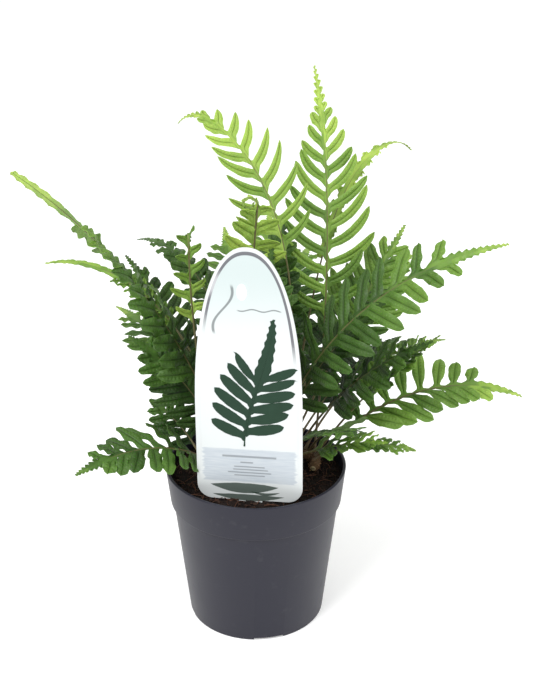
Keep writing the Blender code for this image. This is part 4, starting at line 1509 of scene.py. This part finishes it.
class FERN_OT_label(bpy.types.Operator):
    """Cuts the plant label with its stake and prints its face."""

    bl_idname = "fern.label"
    bl_label = "Plant label"

    def execute(self, context):
        settings = context.scene.fern_label
        outline = label_outline()
        place_label = label_matrix()
        half = LABEL_THICKNESS / 2
        edge = half * 0.5
        count = len(outline)
        middle = sum((Vector(point) for point in outline), Vector((0, 0))) / count
        points = []
        for out, depth in ((edge, -half), (0, -half + edge), (0, half - edge), (edge, half)):
            for x, y in outline:
                inward = (middle - Vector((x, y))).normalized() * out
                points.append(place_label @ Vector((x + inward.x, depth, y + inward.y)))
        faces = [tuple(range(count)), tuple(reversed(range(3 * count, 4 * count)))]
        for level in range(3):
            low = level * count
            high = low + count
            for here in range(count):
                after = (here + 1) % count
                faces.append((low + here, high + here, high + after, low + after))
        label = new_piece("fern_label", points, faces, label_print(settings), smooth=30)
        layer = label.data.uv_layers.new(name="face")
        back = place_label.inverted()
        for loop in label.data.loops:
            flat = back @ label.data.vertices[loop.vertex_index].co
            layer.data[loop.index].uv = (flat.x / (LABEL_WIDTH / 2), flat.z / LABEL_HEIGHT)
        # The back is left unprinted: its corners lie off the printed field.
        for corner in label.data.polygons[1].loop_indices:
            layer.data[corner].uv = (0, -1)
        kept(label, "label_card", "plant_label")
        # The printed frond, a film on the card's face.
        shares = np.linspace(0, 1, STEPS + 1)
        lean = np.radians(3 + 15 * np.sin(np.pi * shares))
        grown = np.stack([np.sin(lean), np.cos(lean)], -1).cumsum(0) * PRINT_LENGTH / STEPS
        flat = place_label.to_3x3()
        left, low = PRINT_START
        places = []
        for x, z in grown:
            places.append(place_label @ Vector((x + left, -half - PRINT_LIFT, z + low)))
        along = [flat @ Vector((math.sin(angle), 0, math.cos(angle))) for angle in lean]
        across = [flat @ Vector((math.cos(angle), 0, -math.sin(angle))) for angle in lean]
        green = printed_green(settings)
        film = path_piece("printed_frond", places, along, across)
        run_tree(film, frond_tree(), **{
            "Leaf": green,
            "Stalk": green,
            "Length": PRINT_LENGTH,
            "Stipe share": 0.04,
            "Pairs": 6,
            "Tail from": 0.55,
            "Pinna length": 0.0265,
            "Fill": 0.90,
            "Point": 0.05,
            "Base angle": math.radians(80),
            "Tip angle": math.radians(44),
            "Bend": math.radians(14),
            "Lift": 0.0,
            "Curl": 0.0,
            "Wave": 0.0,
            "Waist": 0.40,
            "Spoon": 0.20,
            "Cup": 0.0,
            "Groove": 0.0,
            "Loose": 0.0,
            "Thickness": 0.00004,
            "Stipe radius": 0.0004,
            "Tail half width": 0.0046,
            "Tail blunt": 0.55,
            "Teeth": 0.05,
            "Seed": 11,
        })
        kept(film, "label_card")
        return {"FINISHED"}


def label_outline():
    """Outline of the head, arched at the top, and of the pointed stake below it."""
    half = LABEL_WIDTH / 2
    shoulder = LABEL_SHOULDER * LABEL_HEIGHT
    point = STAKE_LENGTH - STAKE_POINT
    outline = [
        (-STAKE_WIDTH / 2, 0),
        (-STAKE_WIDTH / 2, -point),
        (0, -STAKE_LENGTH),
        (STAKE_WIDTH / 2, -point),
        (STAKE_WIDTH / 2, 0),
    ]
    corner = [math.radians(90 * step / 10) for step in range(11)]
    for angle in corner:
        across = half - LABEL_CORNER + LABEL_CORNER * math.sin(angle)
        outline.append((across, LABEL_CORNER - LABEL_CORNER * math.cos(angle)))
    for step in range(73):
        angle = math.radians(180 * step / 72)
        power = 2 / LABEL_FULLNESS
        across = math.copysign(abs(math.cos(angle)) ** power, math.cos(angle))
        outline.append((
            half * across,
            shoulder + (LABEL_HEIGHT - shoulder) * abs(math.sin(angle)) ** power,
        ))
    for angle in reversed(corner):
        across = half - LABEL_CORNER + LABEL_CORNER * math.sin(angle)
        outline.append((-across, LABEL_CORNER - LABEL_CORNER * math.cos(angle)))
    return outline


class FERN_OT_fronds(bpy.types.Operator):
    """Grows every frond from its rhizome."""

    bl_idname = "fern.fronds"
    bl_label = "Fronds"

    def execute(self, context):
        settings = context.scene.fern_fronds
        leaf = leaf_surface(settings)
        stalk = stalk_surface(settings)
        tree = frond_tree()
        for number, frond in enumerate(FRONDS):
            piece = grow_frond(frond, tree, leaf, stalk, settings.thickness, number + 1)
            slot = "young_leaf" if frond.name in COILS else "leaf"
            kept(piece, slot, f"frond_{frond.name}")
        return {"FINISHED"}


class FERN_OT_stage(bpy.types.Operator):
    """Lays the pale floor, sets soft studio light and places the camera."""

    bl_idname = "fern.stage"
    bl_label = "Floor, light and camera"

    def execute(self, context):
        settings = context.scene.fern_stage
        half = 3.0
        corners = [(-half, -half, 0), (half, -half, 0), (half, half, 0), (-half, half, 0)]
        pale, nodes, shader = material("pale_floor", 0.9, specular_ior_level=0.1)
        nodes.feed(shader.inputs["Base Color"], tuple(settings.floor))
        shader.inputs["Emission Color"].default_value = (1, 1, 1, 1)
        shader.inputs["Emission Strength"].default_value = settings.glow
        floor = new_piece("floor", corners, [(0, 1, 2, 3)], pale)
        world = bpy.data.worlds.new("studio")
        world.use_nodes = True
        world.node_tree.nodes["Background"].inputs["Color"].default_value = (1, 1, 1, 1)
        world.node_tree.nodes["Background"].inputs["Strength"].default_value = settings.sky
        context.scene.world = world
        for name, spot, size, share in LAMPS:
            lamp = bpy.data.lights.new(name, "AREA")
            lamp.size = size
            lamp.energy = settings.key * share
            lit = bpy.data.objects.new(name, lamp)
            lit.location = spot
            aim = Vector(LAMP_TARGET) - Vector(spot)
            lit.rotation_euler = aim.to_track_quat("-Z", "Y").to_euler()
            context.scene.collection.objects.link(lit)
        lens = bpy.data.cameras.new("camera")
        lens.sensor_fit = "VERTICAL"
        lens.sensor_height = 36.0
        lens.lens = LENS
        camera = bpy.data.objects.new("camera", lens)
        target = Vector(CAMERA_TARGET)
        rise = math.radians(CAMERA_RISE)
        toward = Vector((0, -math.cos(rise), math.sin(rise)))
        camera.location = target + CAMERA_DISTANCE * toward
        camera.rotation_euler = (target - camera.location).to_track_quat("-Z", "Y").to_euler()
        context.scene.collection.objects.link(camera)
        context.scene.camera = camera
        context.scene.view_settings.view_transform = "Standard"
        return {"FINISHED"}


class FERN_PT_panel(bpy.types.Panel):
    """Lists the steps that build the potted fern."""

    bl_idname = "FERN_PT_panel"
    bl_label = "Potted fern"
    bl_space_type = "VIEW_3D"
    bl_region_type = "UI"
    bl_category = "Fern"

    def draw(self, context):
        for operator in OPERATORS:
            self.layout.operator(operator.bl_idname)


GROUPS = {
    "fern_pot": PotSettings,
    "fern_soil": SoilSettings,
    "fern_label": LabelSettings,
    "fern_fronds": FrondSettings,
    "fern_stage": StageSettings,
}
OPERATORS = (
    FERN_OT_stage,
    FERN_OT_pot,
    FERN_OT_soil,
    FERN_OT_rhizomes,
    FERN_OT_label,
    FERN_OT_fronds,
)


def register():
    for name, group in GROUPS.items():
        bpy.utils.register_class(group)
        setattr(bpy.types.Scene, name, PointerProperty(type=group))
    for operator in OPERATORS:
        bpy.utils.register_class(operator)
    bpy.utils.register_class(FERN_PT_panel)


def unregister():
    bpy.utils.unregister_class(FERN_PT_panel)
    for operator in reversed(OPERATORS):
        bpy.utils.unregister_class(operator)
    for name, group in reversed(list(GROUPS.items())):
        delattr(bpy.types.Scene, name)
        bpy.utils.unregister_class(group)


def main():
    register()
    for operator in OPERATORS:
        group, step = operator.bl_idname.split(".")
        getattr(getattr(bpy.ops, group), step)()


if __name__ == "__main__":
    main()
